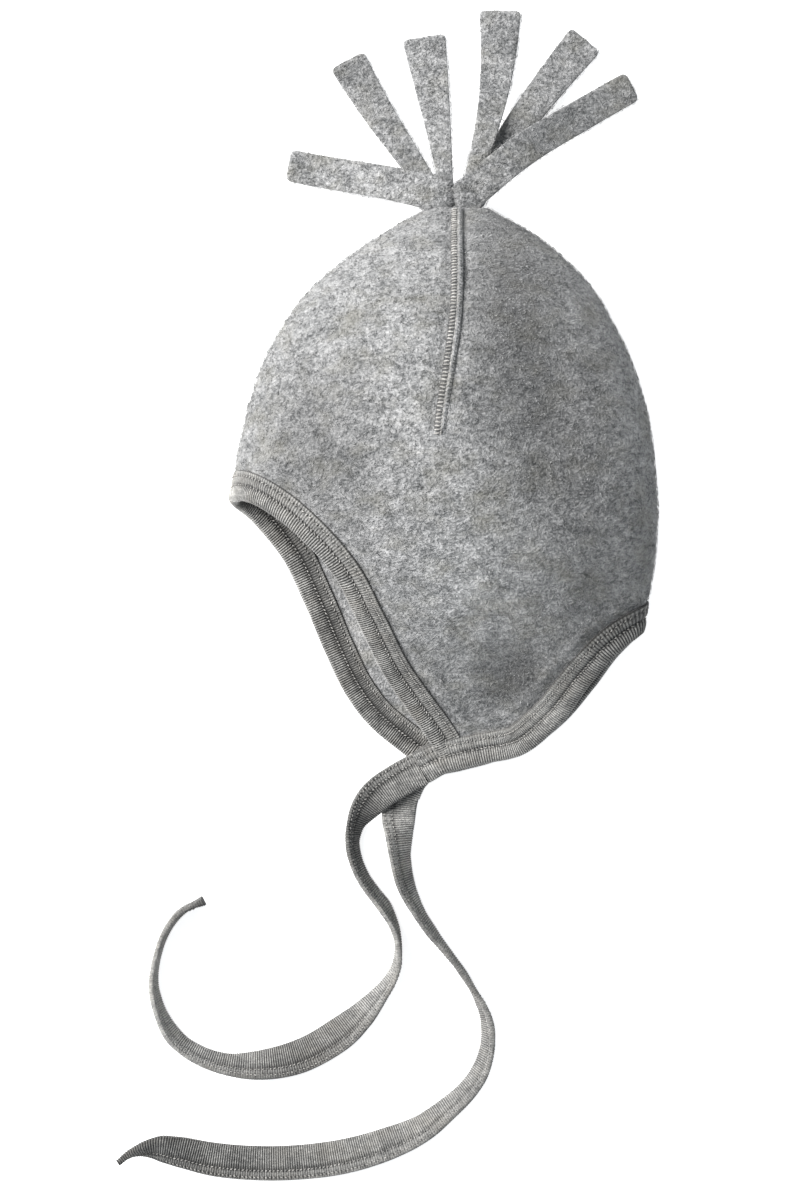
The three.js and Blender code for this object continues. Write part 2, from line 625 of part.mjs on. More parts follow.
// The sections of a strip of the tuft, from its root to its tip.
function stripSections(strip) {
  const length = strip.length * STRIP_LENGTH;
  const tipZ = STRIP_THICKNESS / 2;
  const sections = [];
  const middle = new THREE.Vector3(strip.root * HALF_DEPTH, CROWN_HEIGHT + GAP + strip.start * HEAD_RISE, 0);
  for (let k = 0; k <= STRIP_STATIONS; k += 1) {
    const share = k / STRIP_STATIONS;
    const heading = radians(strip.heading + strip.bend * (share - 0.5) * 2);
    const ahead = new THREE.Vector3(Math.cos(heading), Math.sin(heading), 0);
    const lean = radians(strip.lean * share);
    const right = ahead.clone().cross(UP);
    const across = right.clone().multiplyScalar(Math.cos(lean)).addScaledVector(UP, Math.sin(lean));
    const out = right.multiplyScalar(-Math.sin(lean)).addScaledVector(UP, Math.cos(lean));
    const widening = ease(Math.min(1, share * 1.6));
    const corner = share === 1 ? 0.86 : 1;
    const width = STRIP_WIDTH * THREE.MathUtils.lerp(strip.rootWidth, strip.width, widening) * corner;
    const half = (width * Math.abs(across.z) + STRIP_THICKNESS * Math.abs(out.z)) / 2;
    const line = THREE.MathUtils.lerp(STRIP_ROOT_Z, tipZ, ease(share));
    const hump = strip.hump * LYING_HEIGHT * Math.sin(Math.PI * Math.min(1, share * 1.4)) ** 2;
    const at = middle.clone().setZ(Math.max(line + hump, half));
    sections.push(flatSection(at, across, out, width, STRIP_THICKNESS));
    middle.addScaledVector(ahead, length / STRIP_STATIONS);
  }
  return sections;
}

// The gathered head that a half tuft's strips are sewn into, seated on the crown end.
function tuftHead(from, to) {
  const middle = ((from + to) / 2) * HALF_DEPTH;
  const half = ((to - from) / 2) * HALF_DEPTH;
  const high = 0.065 * LYING_HEIGHT;
  const shape = [[0, 0.92], [0.35, 1], [0.75, 0.9], [1, 0.66]];
  return closedBody(shape.map(([share, size]) => Array.from({ length: 12 }, (_, i) => {
    const angle = (i / 12) * 2 * Math.PI;
    const x = middle + half * Math.cos(angle) * (0.9 + 0.1 * size);
    const z = STRIP_ROOT_Z + high * size * Math.sin(angle);
    return new THREE.Vector3(x, CROWN_HEIGHT + GAP + share * HEAD_RISE, z);
  })));
}

// Half a tuft: three strips fused to their head.
function halfTuft(strips, from, to) {
  const pieces = strips.map((strip) => toSolid(closedBody(stripSections(strip))));
  return toGeometry(pieces.reduce((sum, piece) => sum.add(piece), toSolid(tuftHead(from, to))));
}

const fleece = new THREE.MeshStandardMaterial({ color: FLEECE_GREY, roughness: 0.95, metalness: 0 });
const tape = new THREE.MeshStandardMaterial({ color: TAPE_GREY, roughness: 0.9, metalness: 0 });
const thread = new THREE.MeshStandardMaterial({ color: THREAD_GREY, roughness: 0.85, metalness: 0 });

// The crown end is shared by the two half tufts, which meet in the middle of it.
const TUFT_SPLIT = 0.022;
const TUFT_FRONT_END = -0.095;
const TUFT_BACK_END = 0.19;
const HALF_GAP = GAP / 2 / HALF_DEPTH;

const hat = new THREE.Group();

function add(name, geometry, material) {
  geometry.computeVertexNormals();
  const mesh = new THREE.Mesh(geometry, material);
  mesh.name = name;
  hat.add(mesh);
}

add('hat_body', hatBody(), fleece);
add('dart_seam_near', dartSeam(1), thread);
add('dart_seam_far', dartSeam(-1), thread);
add('face_binding', faceBinding(), tape);
add('neck_binding', neckBinding(), tape);
add('tie_near', tie(NEAR_TIE, { reach: 6, width: 0.62, thickness: 1.5 }), tape);
add('tie_far', tie(FAR_TIE, { reach: 22, width: 0.3, thickness: 0.9 }), tape);
add('tuft_front', halfTuft(FRONT_STRIPS, TUFT_FRONT_END, TUFT_SPLIT - HALF_GAP), fleece);
add('tuft_back', halfTuft(BACK_STRIPS, TUFT_SPLIT + HALF_GAP, TUFT_BACK_END), fleece);

export default hat;
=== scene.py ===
"""A baby hat of grey wool fleece with ear flaps, bound edges, ties and a tuft of strips.

The hat lies on its side on a pale floor. Lengths are in metres in the frame of the solid model:
+X is the back of the hat, +Y its crown and +Z up from the floor that it lies on.
"""

import logging
from dataclasses import dataclass
from enum import Enum
from typing import Callable, Sequence

import bpy
import numpy as np
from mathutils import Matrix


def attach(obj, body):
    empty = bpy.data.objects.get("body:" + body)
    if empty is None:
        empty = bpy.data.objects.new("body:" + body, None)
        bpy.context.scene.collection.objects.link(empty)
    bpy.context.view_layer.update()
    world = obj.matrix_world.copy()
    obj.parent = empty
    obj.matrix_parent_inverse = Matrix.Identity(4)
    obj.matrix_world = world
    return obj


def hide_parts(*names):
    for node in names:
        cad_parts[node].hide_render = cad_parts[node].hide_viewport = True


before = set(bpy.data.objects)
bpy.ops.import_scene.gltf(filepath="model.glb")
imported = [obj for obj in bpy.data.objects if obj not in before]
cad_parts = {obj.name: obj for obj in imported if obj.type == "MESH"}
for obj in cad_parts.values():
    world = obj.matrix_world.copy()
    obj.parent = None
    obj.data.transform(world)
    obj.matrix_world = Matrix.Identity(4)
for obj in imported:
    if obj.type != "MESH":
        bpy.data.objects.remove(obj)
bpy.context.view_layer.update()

LOG = logging.getLogger("baby_hat")
Array = np.ndarray

# Sections of the hat from the flap tips to the crown: rise, front, back, peak, front fold, back
# fold, crest and under, as shares of the sizes in HatForm.
SECTIONS = np.array([
    (-1.14, -0.80, 0.74, 0.06, 0.05, 0.08, 0.11, 0.0),
    (-1.00, -0.82, 0.78, 0.06, 0.06, 0.10, 0.155, 0.0),
    (-0.74, -0.89, 0.87, 0.06, 0.09, 0.16, 0.35, 0.0),
    (-0.51, -0.93, 0.93, 0.06, 0.13, 0.25, 0.60, 0.0),
    (-0.31, -1.00, 0.98, 0.05, 0.18, 0.33, 0.82, 0.0),
    (-0.11, -1.04, 0.995, 0.05, 0.24, 0.38, 0.96, 0.0),
    (0.05, -1.02, 0.985, 0.05, 0.29, 0.39, 1.00, 0.0),
    (0.24, -0.97, 0.955, 0.05, 0.35, 0.39, 0.985, 0.0),
    (0.435, -0.885, 0.88, 0.05, 0.36, 0.38, 0.93, 0.0),
    (0.594, -0.775, 0.78, 0.05, 0.34, 0.35, 0.85, 0.0),
    (0.70, -0.665, 0.695, 0.05, 0.31, 0.32, 0.75, 0.01),
    (0.806, -0.505, 0.575, 0.05, 0.28, 0.28, 0.62, 0.035),
    (0.914, -0.30, 0.40, 0.05, 0.24, 0.24, 0.44, 0.08),
    (1.00, -0.10, 0.20, 0.05, 0.20, 0.20, 0.27, 0.13),
])

# Rows of the finished edges: side (1 near, -1 far), place across and rise, as shares.
FACE_EDGE = np.array([
    (1, -0.036, -1.04), (1, -0.114, -0.93), (1, -0.22, -0.813), (1, -0.35, -0.657),
    (1, -0.458, -0.481), (1, -0.551, -0.337), (1, -0.677, -0.223), (1, -0.82, -0.129),
    (1, -0.944, -0.076), (1, -1.04, -0.061), (-1, -0.98, -0.10), (-1, -0.91, -0.155),
    (-1, -0.80, -0.262), (-1, -0.695, -0.428), (-1, -0.602, -0.595), (-1, -0.494, -0.762),
    (-1, -0.382, -0.874), (-1, -0.205, -0.985), (-1, -0.08, -1.055),
])
NECK_EDGE = np.array([
    (1, -0.084, -1.085), (1, 0.013, -1.045), (1, 0.158, -1.017), (1, 0.37, -0.98),
    (1, 0.546, -0.867), (1, 0.704, -0.701), (1, 0.821, -0.598), (1, 0.926, -0.537),
    (-1, 0.84, -0.612), (-1, 0.722, -0.732), (-1, 0.576, -0.862), (-1, 0.405, -0.959),
    (-1, 0.21, -1.015), (-1, 0.039, -1.048), (-1, -0.043, -1.063), (-1, -0.103, -1.10),
    (-1, -0.136, -1.15),
])

# Soft dents of the near side: place, reach across and along, depth (negative for a ridge), lean.
DENTS = (
    (-0.66, 0.36, 0.17, 0.36, 0.045, 12.0),
    (-0.20, 0.50, 0.15, 0.45, -0.03, 4.0),
    (0.46, 0.36, 0.20, 0.52, 0.04, -8.0),
    (0.30, -0.86, 0.13, 0.10, 0.03, 0.0),
    (0.26, -1.06, 0.18, 0.09, 0.03, 0.0),
    (0.72, -0.48, 0.16, 0.20, 0.035, 30.0),
    (-0.22, -0.42, 0.14, 0.34, -0.02, 28.0),
)
# Paler and darker patches of the near side's fleece: place, reach across and along, tone. They are
# partly mottling of the melange and partly painted light and shade: painted shade in the dents, along
# the bindings, beside the seam and over the back slope that turns from the light, and painted light on
# the crest, low in the middle and along the back rim.
MOTTLES_AND_PAINTED_SHADING = (
    (-0.62, 0.15, 0.30, 0.40, -0.20),
    (0.28, 0.92, 0.22, 0.50, -0.28),
    (0.56, 0.18, 0.32, 0.45, -0.21),
    (0.05, -0.45, 0.34, 0.38, 0.24),
    (-0.12, 0.36, 0.20, 0.40, 0.08),
    (0.90, 0.30, 0.16, 0.50, 0.14),
    (0.34, -0.90, 0.16, 0.16, -0.32),
    (0.72, -0.70, 0.18, 0.18, -0.15),
    (-0.35, -0.88, 0.25, 0.22, -0.08),
)
PLAIN_SHADE = -0.06

# The dart from its lower end up to the crown: rise and place across, as shares.
DART = np.array([
    (0.161, -0.050), (0.267, -0.032), (0.407, -0.003), (0.566, 0.026), (0.712, 0.037),
    (0.866, 0.040), (0.99, 0.045),
])
# The far dart stops a little higher.
FAR_DART_END = np.array((-0.046, 0.190))

# Routes of the ties along their middle: x, y and clear height under the tape in metres, and the
# roll of the tape about its route in degrees.
NEAR_ROUTE = np.array([
    (-0.0122, -0.1249, 0.0064, 0), (-0.0165, -0.1272, 0.0062, 0), (-0.0225, -0.1306, 0.0063, 2),
    (-0.0300, -0.1356, 0.0059, 8), (-0.0365, -0.1423, 0.0031, 34), (-0.0410, -0.1500, 0, 62),
    (-0.0425, -0.1580, 0, 74), (-0.0410, -0.1660, 0, 75), (-0.0375, -0.1740, 0, 76),
    (-0.0330, -0.1805, 0, 76), (-0.0280, -0.1870, 0, 76), (-0.0240, -0.1950, 0, 84),
    (-0.0220, -0.2035, 0, 90), (-0.0222, -0.2115, 0, 96), (-0.0252, -0.2190, 0, 102),
    (-0.0310, -0.2270, 0, 113), (-0.0390, -0.2360, 0, 133), (-0.0510, -0.2460, 0, 160),
    (-0.0660, -0.2540, 0, 158), (-0.0830, -0.2575, 0, 136), (-0.0990, -0.2570, 0, 115),
    (-0.1130, -0.2520, 0, 107), (-0.1225, -0.2445, 0, 106), (-0.1285, -0.2340, 0, 98),
    (-0.1315, -0.2220, 0, 93), (-0.1300, -0.2090, 0, 91), (-0.1255, -0.1970, 0, 92),
    (-0.1190, -0.1890, 0, 92), (-0.1090, -0.1840, 0, 92),
])
FAR_ROUTE = np.array([
    (-0.0204, -0.1374, 0.0011, 0), (-0.0212, -0.1410, 0.0006, 3), (-0.0217, -0.1470, 0, 14),
    (-0.0215, -0.1540, 0, 38), (-0.0210, -0.1650, 0, 57), (-0.0185, -0.1770, 0, 63),
    (-0.0135, -0.1880, 0, 76), (-0.0078, -0.1970, 0, 80), (-0.0010, -0.2060, 0, 87),
    (0.0048, -0.2135, 0, 90), (0.0098, -0.2210, 0, 91), (0.0146, -0.2290, 0, 99),
    (0.0178, -0.2375, 0, 103), (0.0183, -0.2460, 0, 106), (0.0170, -0.2540, 0, 109),
    (0.0138, -0.2620, 0, 112), (0.0082, -0.2696, 0, 113), (0.0002, -0.2770, 0, 118),
    (-0.0114, -0.2860, 0, 130), (-0.0280, -0.2935, 0, 148), (-0.0460, -0.2990, 0, 162),
    (-0.0660, -0.3020, 0, 176), (-0.0860, -0.3025, 0, 180), (-0.1055, -0.3005, 0, 187),
    (-0.1190, -0.2972, 0, 200), (-0.1290, -0.2952, 0, 216), (-0.1355, -0.2954, 0, 230),
    (-0.1420, -0.2975, 0, 246), (-0.1470, -0.3012, 0, 258),
])
# Painted light and shade along each tape: how much paler it is than the plain tone, at even steps
# along it, darker where a tape turns from the light and paler where it faces it.
FACE_PAINTED_SHADING = (-0.05, -0.15, -0.05, -0.15, 0.05, -0.15, -0.15, -0.1)
NECK_PAINTED_SHADING = (0.05, 0.15, 0.1, -0.2, -0.1, 0.0, 0.0, 0.0)
NEAR_TIE_PAINTED_SHADING = (0.05, -0.35, 0.2, -0.05, -0.25, 0.0, 0.35, -0.35)
FAR_TIE_PAINTED_SHADING = (0.15, -0.05, -0.15, -0.1, 0.0, -0.1, -0.2, -0.3)

# Cloth stays this far above the floor, and the middle of a seam's thread further.
FLOOR_GAP = 0.0001
THREAD_GAP = 0.0008
# The tone of cloth that nothing darkens or lightens.
PLAIN_TONE = 0.5


def smooth_rows(rows: Array) -> Callable[[Array], Array]:
    """Every column of a table as a smooth function of its first one.

    Between two rows the values follow a cubic whose slopes are those of the neighbouring rows.

    Args:
        rows: The table, its first column rising from row to row.

    Returns:
        A function of the first column that gives the other columns last.
    """
    keys, values = rows[:, 0], rows[:, 1:]
    before = np.maximum(np.arange(len(keys)) - 1, 0)
    after = np.minimum(np.arange(len(keys)) + 1, len(keys) - 1)
    slopes = (values[after] - values[before]) / (keys[after] - keys[before])[:, None]

    def at(where: Array) -> Array:
        """The columns at some values of the first one."""
        i = np.searchsorted(keys[1:-1], where)
        span = keys[i + 1] - keys[i]
        t = np.clip((where - keys[i]) / span, 0, 1)[..., None]
        span = span[..., None]
        step = values[i] + (values[i + 1] - values[i]) * t * t * (3 - 2 * t)
        return step + slopes[i] * span * t * (1 - t) ** 2 - slopes[i + 1] * span * t * t * (1 - t)

    return at


def through_points(points: Array, t: Array) -> Array:
    """A smooth line through points, as a centripetal Catmull-Rom curve.

    Args:
        points: The points, one a row, of any number of columns.
        t: Shares of the way from the first point to the last, counted in points.

    Returns:
        The points at those shares.
    """
    ends = (2 * points[:1] - points[1:2], points, 2 * points[-1:] - points[-2:-1])
    p = np.concatenate(ends)
    at = np.clip(t, 0, 1) * (len(points) - 1)
    i = np.minimum(at.astype(int), len(points) - 2)
    w = (at - i)[:, None]
    a, b, c, d = p[i], p[i + 1], p[i + 2], p[i + 3]
    first, middle, last = (np.linalg.norm(v, axis=1)[:, None] ** 0.5 for v in (b - a, c - b, d - c))
    middle = np.where(middle < 1e-4, 1, middle)
    first, last = (np.where(v < 1e-4, middle, v) for v in (first, last))
    leave = ((b - a) / first - (c - a) / (first + middle) + (c - b) / middle) * middle
    arrive = ((c - b) / middle - (d - b) / (middle + last) + (d - c) / last) * middle
    cubic = 2 * b - 2 * c + leave + arrive
    square = -3 * b + 3 * c - 2 * leave - arrive
    return b + leave * w + square * w**2 + cubic * w**3


def soft_noise(points: Array, size: float, seed: int) -> Array:
    """Smooth random values from -1 to 1 over space.

    Random numbers on a cubic lattice are blended with a smooth step along each direction.

    Args:
        points: Places in space, with three numbers last.
        size: The side of a lattice cell.
        seed: Which lattice of random numbers.

    Returns:
        One value for each place.
    """
    table = np.random.default_rng(seed).uniform(-1, 1, (32, 32, 32))
    cell = np.floor(points / size).astype(int)
    t = points / size - cell
    t = t * t * (3 - 2 * t)
    total = np.zeros(points.shape[:-1])
    for corner in np.ndindex(2, 2, 2):
        side = np.array(corner)
        weight = np.prod(np.where(side, t, 1 - t), axis=-1)
        i, j, k = np.moveaxis((cell + side) % 32, -1, 0)
        total += weight * table[i, j, k]
    return total


def unit(vectors: Array) -> Array:
    """Vectors brought to length one."""
    return vectors / np.maximum(np.linalg.norm(vectors, axis=-1, keepdims=True), 1e-12)


def above_floor(points: Array, least: float) -> Array:
    """The points, with those that are lower than the least height raised to it."""
    return np.concatenate([points[..., :2], np.maximum(points[..., 2:], least)], -1)


def ease(t: Array) -> Array:
    """A smooth step from zero to one."""
    t = np.clip(t, 0, 1)
    return t * t * (3 - 2 * t)


def hill(distance: Array) -> Array:
    """A soft hill: one in the middle and zero from a distance of one outwards."""
    return np.maximum(0, 1 - distance**2) ** 2


def bell(distance: Array, reach: float) -> Array:
    """A bell shape: one in the middle, and falling with the square of the distance."""
    return np.exp(-((distance / reach) ** 2))


def run_along(points: Array) -> Array:
    """How far along a line each of its points is."""
    steps = np.linalg.norm(np.diff(points, axis=0), axis=-1)
    return np.concatenate([[0.0], np.cumsum(steps)])


def painted_shading_along(run: Array, shades: tuple[float, ...]) -> Array:
    """The painted light and shade of a tape, which stand at even steps along it, at each of its rings."""
    return np.interp(run / run[-1], np.linspace(0, 1, len(shades)), shades)[:, None]


@dataclass(frozen=True)
class Places:
    """Places on the hat: angles about the head in degrees and heights along it in metres."""

    around: Array
    y: Array


@dataclass(frozen=True)
class Stations:
    """Places along an edge, with the directions along it and into the fleece."""

    places: Places
    ahead: Array
    inward: Array
    run: Array


class Side(Enum):
    """The layer of the hat that lies on top and the one that lies on the floor."""

    NEAR = 1
    FAR = -1


@dataclass(frozen=True)
class HatForm:
    """The outer surface of the hat as it lies, and the finished edges on it."""

    half_depth: float = 0.092
    crown_height: float = 0.124
    flap_drop: float = 0.121
    lying_height: float = 0.076
    fleece: float = 0.002
    under_front: float = -1.04
    under_front_from: float = -0.11
    under_turn: float = 1.15
    under_curve: float = 1.5
    dart_bed: float = 0.003
    dart_bed_reach: float = 0.020
    dart_bed_end: float = 0.006
    dart_bed_before: float = 0.0055
    edge_bed: float = 0.002
    edge_bed_reach: float = 0.045

    def height_of(self, rise: Array) -> Array:
        """The height along the hat of a rise."""
        return np.where(rise > 0, rise * self.crown_height, rise * self.flap_drop)

    def rise_of(self, y: Array) -> Array:
        """The rise of a height along the hat."""
        return np.where(y > 0, y / self.crown_height, y / self.flap_drop)

    def dart_x(self, y: Array) -> Array:
        """Where the dart is across the hat at a height."""
        return smooth_rows(DART)(self.rise_of(y))[..., 0] * self.half_depth

    def edge_points(self, rows: Array, past: float, count: int) -> Array:
        """An edge as angles about the head and heights.

        The angle is the one whose cosine puts the row at its place across the section.

        Args:
            rows: The edge's rows.
            past: The angle from which the far layer counts back.
            count: How many points to give.

        Returns:
            The points, each an angle in degrees and a height.
        """
        side, x, rise = rows.T
        at = smooth_rows(SECTIONS)(rise)
        full = (side < 0) & (rise < self.under_front_from)
        front = np.where(full, self.under_front, at[:, 0])
        reach = np.where(x < at[:, 2], at[:, 2] - front, at[:, 1] - at[:, 2])
        angle = np.degrees(np.arccos(np.clip((at[:, 2] - x) / reach, -1, 1)))
        angle = np.where(side > 0, angle, past - angle)
        # Heights are in millimetres here, so that both columns count alike along the curve.
        points = np.column_stack([angle, self.height_of(rise) * 1000])
        curve = through_points(points, np.linspace(0, 1, count))
        return curve * (1, 0.001)

    def far_lift(self, around: Array, y: Array) -> Array:
        """How far the far bindings lift the fleece above them near its edge."""
        face = self.edge_points(FACE_EDGE, 0, count=61)
        neck = self.edge_points(NECK_EDGE, 360, count=61)
        face, neck = face[face[:, 0] < 0][::-1] + (360, 0), neck[neck[:, 0] > 180]
        edge = np.concatenate([neck, face])
        angle = np.mod(around, 360)
        later = edge[:, 0] > angle[..., None]
        i = np.where(later.any(-1), later.argmax(-1), len(edge) - 1)
        a, b = edge[np.maximum(i - 1, 0)], edge[i]
        width = b[..., 0] - a[..., 0]
        share = np.where(width > 0, (angle - a[..., 0]) / np.where(width > 0, width, 1), 0)
        at = a[..., 1] + (b[..., 1] - a[..., 1]) * np.clip(share, 0, 1)
        return self.edge_bed * ease(2 - (y - at) / self.edge_bed_reach)

    def dents(self, x: Array, y: Array) -> Array:
        """How far the soft dents lower the near side: a sum of bell shapes."""
        total = np.zeros(np.shape(x))
        for place_x, place_y, reach_x, reach_y, depth, lean in DENTS:
            c, s = np.cos(np.radians(lean)), np.sin(np.radians(lean))
            dx, dy = x / self.half_depth - place_x, y / self.half_depth - place_y
            across, along = (dx * c + dy * s) / reach_x, (dy * c - dx * s) / reach_y
            total += depth * np.exp(-(across**2) - along**2)
        return total * self.lying_height

    def shades(self, x: Array, y: Array) -> Array:
        """How much paler the near side is than the plain tone, in mottling and painted light and shade:
        one bell shape for each patch.
        """
        total = np.full(np.shape(x), PLAIN_SHADE)
        for at_x, at_y, across, along, tone in MOTTLES_AND_PAINTED_SHADING:
            dx = (x / self.half_depth - at_x) / across
            dy = (y / self.half_depth - at_y) / along
            total = total + tone * np.exp(-(dx**2) - dy**2)
        return total

    def surface(self, places: Places) -> Array:
        """Points of the outer surface.

        The cosine of the angle goes across from the peak to the front and back folds. On the
        near side the height rises from the fold to the crest with the sine. On the far side it
        falls from the fold to the floor as a power of what the sine leaves.

        Args:
            places: Where on the hat.

        Returns:
            The points in space.
        """
        around, y = np.broadcast_arrays(places.around, places.y)
        rise = self.rise_of(y)
        at = np.moveaxis(smooth_rows(SECTIONS)(rise), -1, 0)
        front, back, peak, front_fold, back_fold, crest, under = at
        cosine, sine = np.cos(np.radians(around)), np.sin(np.radians(around))
        front = np.where((sine < 0) & (rise < self.under_front_from), self.under_front, front)
        x = (peak + np.where(cosine > 0, front - peak, peak - back) * cosine) * self.half_depth
        fold = (back_fold + (front_fold - back_fold) * (1 + cosine) / 2) * self.lying_height
        top = crest * self.lying_height
        near = fold + (top - fold) * sine - self.dents(x, y) * np.clip(2 * sine, 0, 1)
        turn = np.maximum(0, 1 + self.under_turn * np.minimum(sine, 0)) ** self.under_curve
        floor = np.maximum(under * self.lying_height, 0)
        past = np.maximum(0, self.height_of(FAR_DART_END[1]) - self.dart_bed_before - y)
        dart = self.dart_bed * hill((x - self.dart_x(y)) / self.dart_bed_reach)
        dart = dart * hill(past / self.dart_bed_end)
        far = floor + (fold - floor) * turn + (self.far_lift(around, y) + dart) * (1 - turn)
        return np.stack([x, y, np.where(sine >= 0, near, far)], axis=-1)

    def frame_at(self, places: Places) -> tuple[Array, Array, Array]:
        """The directions along and up the surface per degree and metre, and the way out of it."""
        turn, rise = 0.2, 0.0002
        along = self.surface(Places(places.around + turn, places.y))
        along = (along - self.surface(Places(places.around - turn, places.y))) / (2 * turn)
        up = self.surface(Places(places.around, places.y + rise))
        up = (up - self.surface(Places(places.around, places.y - rise))) / (2 * rise)
        return along, up, unit(np.cross(along, up))

    def walk(self, places: Places, way: Array, distance: float | Array) -> tuple[Places, Array]:
        """The places that are some distance away along the surface.

        Each short step solves for the angle and height whose move gives the step in space.

        Args:
            places: Where the walk starts.
            way: The direction of each, in space.
            distance: How far to go, for all or for each.

        Returns:
            The places reached, and the directions there.
        """
        steps = max(1, int(np.ceil(np.max(np.abs(distance)) / 0.0015)))
        distance = np.asarray(distance)[..., None]
        for _ in range(steps):
            along, up, out = self.frame_at(places)
            way = unit(way - out * np.sum(way * out, -1, keepdims=True))
            step = way * distance / steps
            a, b, c = (np.sum(u * v, -1) for u, v in ((along, along), (along, up), (up, up)))
            p, q = np.sum(along * step, -1), np.sum(up * step, -1)
            area = a * c - b * b
            around = places.around + (c * p - b * q) / area
            places = Places(around, places.y + (a * q - b * p) / area)
        return places, way

    def off_surface(self, places: Places, height: Array | float) -> Array:
        """Points at some height off the surface."""
        out = self.frame_at(places)[2]
        return self.surface(places) + out * np.expand_dims(np.asarray(height), -1)

    def edge_stations(self, rows: Array, past: float, turn: int, closer: Callable) -> Stations:
        """Evenly spaced stations along an edge.

        Args:
            rows: The edge's rows.
            past: The angle from which the far layer counts back.
            turn: 1 where the fleece is on the left of the edge, -1 where it is on the right.
            closer: Gives the distance between stations from the angles about the head.

        Returns:
            The stations.
        """
        fine = self.edge_points(rows, past, count=1600)
        points = self.surface(Places(fine[:, 0], fine[:, 1]))
        run = run_along(points)
        spacing = closer(fine[:, 0])
        count = np.cumsum(np.concatenate([[0], np.diff(run) / spacing[1:]]))
        wanted = np.linspace(0, count[-1], int(count[-1]) + 1)
        around, y = (np.interp(wanted, count, fine[:, k]) for k in (0, 1))
        places = Places(around, y)
        here = np.interp(wanted, count, run)
        reach = 0.0025
        ends = [np.clip(here + d, 0, run[-1]) for d in (-reach, reach)]
        back, forward = (np.stack([np.interp(e, run, points[:, k]) for k in range(3)], -1) for e in ends)
        ahead = unit(forward - back)
        inward = unit(np.cross(self.frame_at(places)[2], ahead)) * turn
        return Stations(places, ahead, inward, here)


@dataclass
class Shape:
    """Vertices, faces and a tone for each vertex, gathered until a mesh is made of them."""

    vertices: Array
    faces: list[Array]
    tone: Array

    @staticmethod
    def of_grid(points: Array, tone: Array) -> "Shape":
        """A closed body of rings: quads between them, and fans over the first and last.

        Args:
            points: The rings, as rings by points by three numbers.
            tone: A tone for each point.

        Returns:
            The shape.
        """
        rings, around = points.shape[:2]
        index = np.arange(rings * around).reshape(rings, around)
        after = np.roll(index, -1, axis=1)
        quads = np.stack([index[:-1], after[:-1], after[1:], index[1:]], -1).reshape(-1, 4)
        top = rings * around
        first = np.stack([np.full(around, top), after[0], index[0]], -1)
        last = np.stack([np.full(around, top + 1), index[-1], after[-1]], -1)
        vertices = np.concatenate([points.reshape(-1, 3), points[[0, -1]].mean(1)])
        tones = np.concatenate([tone.reshape(-1), tone[[0, -1]].mean(1)])
        return Shape(vertices, [quads, np.concatenate([first, last])], tones)

    @staticmethod
    def joined(shapes: Sequence["Shape"]) -> "Shape":
        """Several shapes as one."""
        faces, start = [], 0
        for shape in shapes:
            faces += [face + start for face in shape.faces]
            start += len(shape.vertices)
        tone = np.concatenate([shape.tone for shape in shapes])
        return Shape(np.concatenate([shape.vertices for shape in shapes]), faces, tone)

    def outward(self) -> "Shape":
        """The shape with its faces turned outwards, which makes its volume positive."""
        volume = 0.0
        for face in self.faces:
            corner = self.vertices[face]
            for k in range(1, face.shape[1] - 1):
                cross = np.cross(corner[:, k], corner[:, k + 1])
                volume += np.sum(corner[:, 0] * cross)
        if volume < 0:
            return Shape(self.vertices, [face[:, ::-1] for face in self.faces], self.tone)
        return self

    def to_object(self, name: str, material: bpy.types.Material) -> bpy.types.Object:
        """A smooth mesh object of the shape.

        Args:
            name: The object's name.
            material: What it is made of.

        Returns:
            The object, at the origin and linked to the scene.
        """
        mesh = bpy.data.meshes.new(name)
        corners = np.concatenate([face.ravel() for face in self.faces]).astype(np.int32)
        sizes = np.concatenate([np.full(len(face), face.shape[1]) for face in self.faces])
        starts = np.concatenate([[0], np.cumsum(sizes)[:-1]]).astype(np.int32)
        mesh.vertices.add(len(self.vertices))
        mesh.vertices.foreach_set("co", self.vertices.astype(np.float32).ravel())
        mesh.loops.add(len(corners))
        mesh.loops.foreach_set("vertex_index", corners)
        mesh.polygons.add(len(sizes))
        mesh.polygons.foreach_set("loop_start", starts)
        mesh.polygons.foreach_set("use_smooth", np.ones(len(sizes), bool))
        tone = mesh.attributes.new("tone", "FLOAT", "POINT")
        tone.data.foreach_set("value", self.tone.astype(np.float32))
        mesh.update(calc_edges=True)
        mesh.materials.append(material)
        piece = bpy.data.objects.new(name, mesh)
        bpy.context.scene.collection.objects.link(piece)
        return piece


